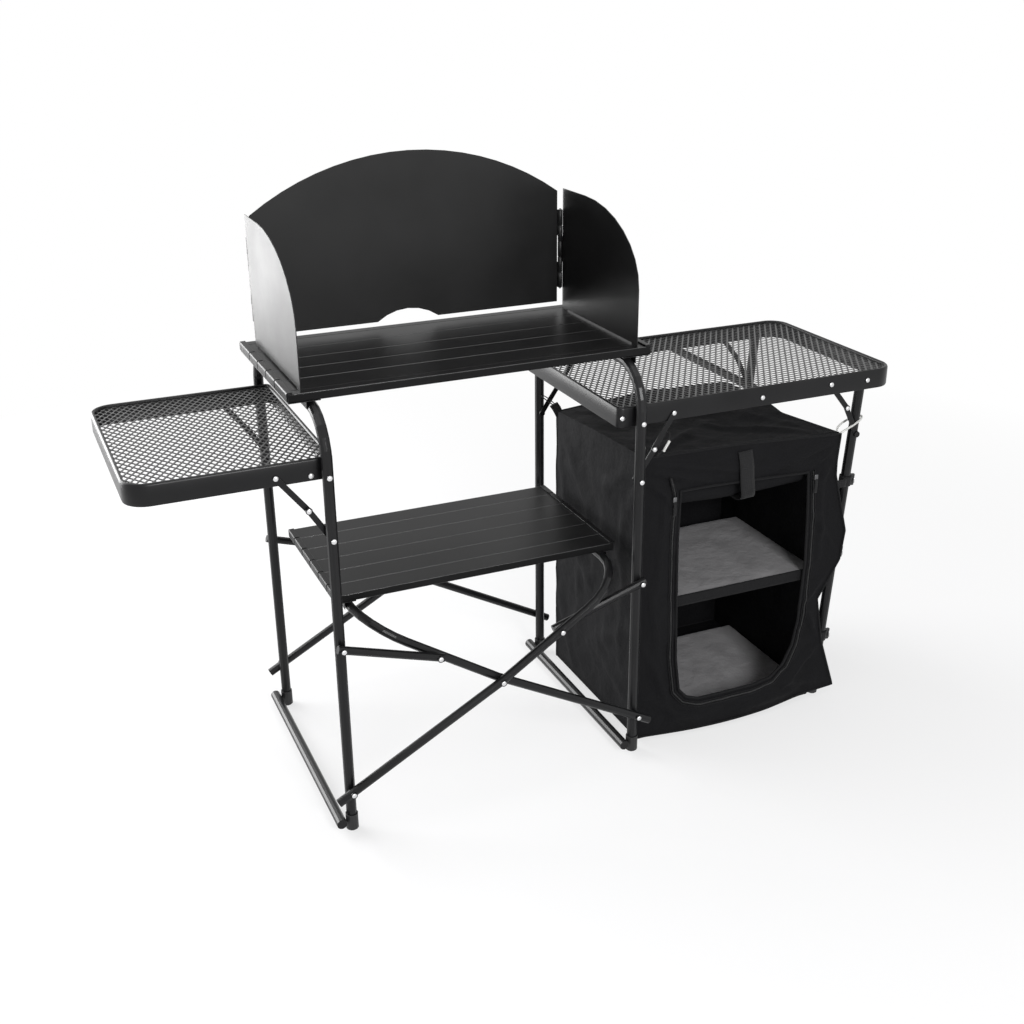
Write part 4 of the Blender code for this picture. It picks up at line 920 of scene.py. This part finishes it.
def cabinet_zip():
    """The door's zip: two tapes' edges and the coil between, open at the top, with a slider on each side."""
    start = SIDE_COUNTS[0] + SIDE_COUNTS[1]
    end = start + SIDE_COUNTS[2]
    calm = 0.35 + 0.65 * math.sin(math.pi * (0.1 + 0.2))
    lines = (("inner_edge", 0.008, 0.0013, PIPING_CLOTH), ("coil", 0.0125, 0.0019, ZIP_COIL),
             ("outer_edge", 0.017, 0.0013, PIPING_CLOTH))
    for name, by, radius, look in lines:
        loop = widened(loop_of(DOOR), by)
        line = loop[end:] + loop[:start]
        line[0] = line[0] + Vector((-0.014, 0.022))
        points = []
        for p in line:
            depth = folded(FRONT_FOLDS, p.x, p.y, ZIP_CRUMPLE, FOLD_SEED) * calm
            points.append(at(p.x, CABINET_FRONT_Y - depth - 0.0006 - 0.5 * belly(p.x, p.y), p.y))
        hang(cord_piece(f"cabinet_zip_{name}", points, radius, look, "right_frame"))
    for name, x, z in (("left", 0.367, 0.512), ("right", 0.680, 0.505)):
        middle = at(x, CABINET_FRONT_Y - 0.0075, z)
        size = (0.008, 0.004, 0.011)
        hang(block(f"cabinet_zip_slider_{name}", middle, size, 0.0015, PIN_STEEL, "right_frame"))
        tab = [at(x, CABINET_FRONT_Y - 0.0095, z - 0.004), at(x, CABINET_FRONT_Y - 0.0100, z - 0.018),
               at(x, CABINET_FRONT_Y - 0.0085, z - 0.032)]
        across = Vector((1, 0, 0))
        hang(strap_piece(f"cabinet_zip_pull_{name}", resampled(tab, 6), across, 0.006, 0.0016))


def cabinet_boards():
    """The middle shelf and the floor board in their pale cloth sleeves, with dark bound front edges."""
    left, right = BOARD_X
    front, rear = BOARD_Y
    for name, z in (("middle_shelf", 0.295), ("floor_board", 0.026)):
        edit = bmesh.new()
        columns, depth_rows = 36, 26
        rows = []
        for j in range(depth_rows + 1):
            row = []
            for i in range(columns + 1):
                x = left + (right - left) * i / columns
                y = front + (rear - front) * j / depth_rows
                droop = -0.0025 * math.sin(math.pi * i / columns) * math.sin(math.pi * j / depth_rows)
                droop += 0.0012 * noise.fractal(Vector((x * 7, y * 7, 4.4)), 1.0, 2.0, 3)
                row.append(edit.verts.new(at(x, y, z + 0.001 + droop)))
            rows.append(row)
        skin(edit, rows)
        piece = sheet_piece(f"cabinet_{name}", edit, BOARD_CLOTH, 0.005)
        add_modifier(piece, "BEVEL", width=0.0015, segments=2)
        if name == "middle_shelf":
            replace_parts(piece, "cabinet_middle_shelf")
        hang(piece)
        edge = [at(left + (right - left) * i / 24, front + 0.001, z - 0.004) for i in range(25)]
        up = Vector((0, 0, 1))
        hang(strap_piece(f"cabinet_{name}_lip", edge, up, 0.022, 0.0030, look=PIPING_CLOTH))


def rolled_door():
    """The door, rolled up behind the top of its opening and held by a webbing loop."""
    edit = bmesh.new()
    left, right = ROLL_X
    columns, steps = 40, 120
    rows = []
    for i in range(columns + 1):
        x = left + (right - left) * i / columns
        sag = -0.006 * math.sin(math.pi * i / columns)
        squeeze = 1 - 0.18 * math.exp(-(((x - 0.530) / 0.020) ** 2))
        row = []
        for k in range(steps + 1):
            angle = 2 * math.pi * DOOR_TURNS * k / steps + 0.6
            radius = (0.005 + 0.015 * k / steps) * squeeze
            radius += 0.0006 * noise.fractal(Vector((x * 14, angle * 0.35, 6.1)), 1.0, 2.0, 3)
            y = CABINET_FRONT_Y + 0.034 + radius * math.cos(angle)
            z = 0.508 + sag + radius * math.sin(angle) * 1.1
            row.append(edit.verts.new(at(x, y, z)))
        rows.append(row)
    skin(edit, rows)
    piece = sheet_piece("cabinet_rolled_door", edit, CABINET_CLOTH, 0.0008)
    hang(piece)
    path = [(0.517, -0.2030, 0.583), (0.519, -0.2085, 0.560), (0.523, -0.2080, 0.520),
            (0.530, -0.2040, 0.490), (0.531, -0.1930, 0.481), (0.531, -0.1700, 0.478),
            (0.529, -0.1450, 0.486), (0.526, -0.1390, 0.506), (0.522, -0.1480, 0.534), (0.520, -0.1880, 0.560)]
    points = resampled(smoothed([at(*p) for p in path], 2), 40)
    across = Vector((1, 0, 0.06)).normalized()
    strap = strap_piece("cabinet_door_loop", points, across, 0.030, 0.0018)
    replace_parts(strap, "cabinet_door_strap")
    hang(strap)


def leg_point(z):
    """A place on the front outer leg's axis."""
    return at(OUTER_FOOT_X + (OUTER_PIVOT_X - OUTER_FOOT_X) * (z - 0.0008) / 0.6832, -OUTER_LEG_Y, z)


def cabinet_ties():
    """Webbing loops round the front outer leg, each closed by a small buckle."""
    lean = (leg_point(0.5) - leg_point(0.1)).normalized()
    for number, (z, edge_x) in enumerate(((0.475, 0.738), (0.320, 0.760), (0.135, 0.732)), 1):
        axis = leg_point(z)
        side = lean.cross(Vector((0, 1, 0))).normalized()
        around = circle(32)
        ring = [axis + (side * c + Vector((0, s, 0))) * 0.0113 for c, s in (*around, around[0])]
        loop = strap_piece(f"cabinet_tie_loop_{number}", ring, lean, 0.020, 0.0016, "outer_leg")
        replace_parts(loop, f"cabinet_tie_{number}")
        tail = [(0.004, -0.0120, 0), (-0.004, -0.0124, 0), (-0.014, -0.0118, 0)]
        tail = [axis + Vector(step) for step in tail]
        strap_piece(f"cabinet_tie_tail_{number}", resampled(tail, 8), lean, 0.018, 0.0014, "outer_leg")
        reach = max(axis.x - MIDDLE_X - 0.008, edge_x + 0.004)
        tab = [at(edge_x - 0.020, CABINET_FRONT_Y + 0.0028, z),
               at(edge_x - 0.004, CABINET_FRONT_Y + 0.0030, z + 0.001), at(reach, CABINET_FRONT_Y + 0.0040, z)]
        hang(strap_piece(f"cabinet_tie_tab_{number}", resampled(tab, 10), lean, 0.016, 0.0014))
        turn = lean.to_track_quat("Z", "Y").to_matrix()
        buckle = axis + Vector((0.0125, -0.002, 0.0))
        size = (0.006, 0.014, 0.024)
        block(f"cabinet_tie_buckle_{number}", buckle, size, 0.0016, BUCKLE_PLASTIC, "outer_leg", turn)
        bar = [buckle + Vector((0.0042, -0.005, -0.006)), buckle + Vector((0.0048, -0.005, 0.006))]
        cord_piece(f"cabinet_tie_buckle_bar_{number}", bar, 0.0012, RIVET_STEEL, "outer_leg")


def loop_cord(name, points, radius, look):
    """A cord that leaves the cabinet's corner, goes round what holds it and comes back to the corner."""
    line = resampled(smoothed([at(*p) for p in points], 3), 60)
    piece = hang(cord_piece(name, line, radius, look, "right_frame"))


def corner_cords():
    """The loops at three of the cabinet's top corners. The photo doesn't show the fourth."""
    front = [(0.729, -0.1985, 0.582), (0.752, -0.1945, 0.588), (0.778, -0.1935, 0.598),
             (0.796, -0.1850, 0.605), (0.794, -0.1720, 0.604), (0.770, -0.1705, 0.598),
             (0.745, -0.1750, 0.589), (0.732, -0.1900, 0.583)]
    loop_cord("cabinet_cord_right_front", front, 0.0021, ELASTIC)
    hook = [(0.329, -0.2010, 0.601), (0.338, -0.2065, 0.613), (0.349, -0.2075, 0.630),
            (0.3535, -0.2050, 0.643), (0.351, -0.1965, 0.646), (0.342, -0.1945, 0.630), (0.331, -0.1965, 0.612)]
    strand = [at(0.3385, -0.2085, 0.612), at(0.3435, -0.2095, 0.621), at(0.3500, -0.2090, 0.631)]
    strand = resampled(smoothed(strand, 2), 10)
    tip = hang(cord_piece("cabinet_cord_left_front_tip", strand, 0.0024, ELASTIC, "right_frame"))
    loop_cord("cabinet_cord_left_front", hook, 0.0013, WEBBING)
    tab = [at(0.310, 0.164, 0.570), at(0.307, 0.174, 0.582), at(0.303, 0.181, 0.590)]
    across = Vector((1, 0, 0.4)).normalized()
    hang(strap_piece("cabinet_cord_tab_left_rear", resampled(tab, 10), across, 0.018, 0.0014))
    slack = [(0.301, 0.181, 0.589), (0.294, 0.190, 0.595), (0.286, 0.199, 0.602), (0.285, 0.204, 0.605),
             (0.292, 0.203, 0.603), (0.300, 0.194, 0.597), (0.306, 0.184, 0.590)]
    loop_cord("cabinet_cord_left_rear", slack, 0.0011, WEBBING)


# Put together

FINISHES = {
    "end_frame": TUBE_COAT, "scissor_tube": TUBE_COAT, "link": TUBE_COAT, "floor_bar": TUBE_COAT,
    "leg_frame": TUBE_COAT, "foot": FOOT_PLASTIC, "slat": BOARD_COAT, "rail": RAIL_COAT,
    "table_rim": RAIL_COAT, "crossbar": RAIL_COAT, "brace": RAIL_COAT, "windscreen": SCREEN_COAT,
    "pin": PIN_STEEL,
}

for node_name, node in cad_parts.items():
    for word, look in FINISHES.items():
        if word in node_name:
            for held in node.material_slots:
                held.material = look

rivet_heads()
table_rim("left_table_rolled_rim", "left_table_rim", "left_table", -1, LEFT_RAIL_Y)
table_rim("right_table_rolled_rim", "right_table_rim", "right_table", 1, RIGHT_RAIL_Y)
slat_ends("main_top", TOP_SLATS, TOP_HALF_LENGTH, 0.800)
slat_ends("lower_shelf", SHELF_SLATS, SHELF_HALF_LENGTH, 0.4250)
slat_edges("main_top", TOP_SLATS, TOP_HALF_LENGTH, 0.7985)
slat_edges("lower_shelf", SHELF_SLATS, SHELF_HALF_LENGTH, 0.4238)
hinge_knuckles()
expanded_mesh("left_table_expanded_mesh", "left_table_mesh", "left_table", -1)
expanded_mesh("right_table_expanded_mesh", "right_table_mesh", "right_table", 1)
cabinet_body()
front_panel()
cabinet_piping()
cabinet_zip()
cabinet_boards()
rolled_door()
cabinet_ties()
corner_cords()
for piece in CABINET_PIECES:
    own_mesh(piece)


# Studio

def backdrop_share(tree):
    """1 for the rays that look at the background, directly or in a gloss or through glass."""
    path = add(tree, "ShaderNodeLightPath")
    seen = calculate(tree, "MAXIMUM", path.outputs["Is Camera Ray"], path.outputs["Is Glossy Ray"])
    return calculate(tree, "MAXIMUM", seen, path.outputs["Is Transmission Ray"])


def lit_and_seen(tree, share, lit, seen, output):
    """The first shader lights the table and the second is what the camera sees, by share."""
    choice = add(tree, "ShaderNodeMixShader")
    for socket, value in zip(choice.inputs, (share, lit.outputs[0], seen.outputs[0])):
        tree.links.new(value, socket)
    tree.links.new(choice.outputs[0], add(tree, output).inputs["Surface"])


def white_room(level):
    world = bpy.data.worlds.new("white_room")
    bpy.context.scene.world = world
    world.use_nodes = True
    tree = world.node_tree
    tree.nodes.clear()
    lights, seen = add(tree, "ShaderNodeBackground"), add(tree, "ShaderNodeBackground")
    preset(lights, Strength=level, Color=(1, 1, 1, 1))
    preset(seen, Strength=1.0, Color=(1, 1, 1, 1))
    lit_and_seen(tree, backdrop_share(tree), lights, seen, "ShaderNodeOutputWorld")


def white_floor(glow):
    """A pale floor that keeps the table's shadow and fades to white away from it."""
    edit = bmesh.new()
    bmesh.ops.create_grid(edit, x_segments=8, y_segments=8, size=60)
    mesh = mesh_of("studio_floor", edit)
    floor = in_scene("studio_floor", mesh)
    floor.location.z = -0.0003
    look = bpy.data.materials.new("white_floor_paint")
    look.use_nodes = True
    tree = look.node_tree
    tree.nodes.clear()
    paint = add(tree, "ShaderNodeBsdfDiffuse")
    preset(paint, Color=(0.86, 0.86, 0.87, 1))
    white = add(tree, "ShaderNodeEmission")
    preset(white, Strength=1.0)
    place = object_place(tree)
    far = add(tree, "ShaderNodeVectorMath", operation="LENGTH")
    tree.links.new(place, far.inputs[0])
    share = ramp(tree, far.outputs["Value"], 0.9, 2.6, glow, 1.0)
    share = calculate(tree, "MULTIPLY", backdrop_share(tree), share)
    lit_and_seen(tree, share, paint, white, "ShaderNodeOutputMaterial")
    mesh.materials.append(look)


def softbox(name, place, target, size, power):
    lamp = bpy.data.lights.new(name, "AREA")
    lamp.shape = "SQUARE"
    lamp.size = size
    lamp.energy = power
    box = in_scene(name, lamp)
    box.location = place
    box.rotation_euler = (Vector(target) - Vector(place)).to_track_quat("-Z", "Y").to_euler()
    box.visible_camera = False


def photo_camera():
    azimuth, elevation, roll = (math.radians(angle) for angle in (-23.254, 23.069, -0.628))
    level = math.cos(elevation)
    back = Vector((math.sin(azimuth) * level, -math.cos(azimuth) * level, math.sin(elevation)))
    right = (-back).cross(Vector((0, 0, 1))).normalized()
    up = right.cross(-back)
    across = right * math.cos(roll) + up * math.sin(roll)
    upright = up * math.cos(roll) - right * math.sin(roll)
    lens = bpy.data.cameras.new("photo_camera")
    lens.lens = 45.50
    lens.sensor_width = 36.0
    camera = in_scene("photo_camera", lens)
    turn = Matrix((across, upright, back)).transposed().to_4x4()
    camera.matrix_world = Matrix.Translation(Vector((-0.90108, -2.10653, 1.42680))) @ turn
    bpy.context.scene.camera = camera


bpy.context.scene.view_settings.view_transform = "Standard"
white_room(0.35)
white_floor(0.64)
softbox("front_softbox", (0.05, -3.6, 2.10), (0.30, 0.0, 0.35), 1.0, 95)
softbox("rear_left_softbox", (-2.1, 2.2, 1.30), (-0.45, 0.0, 0.85), 2.4, 170)
softbox("overhead_softbox", (-0.3, 0.3, 3.2), (0.0, 0.0, 0.5), 2.2, 25)
photo_camera()
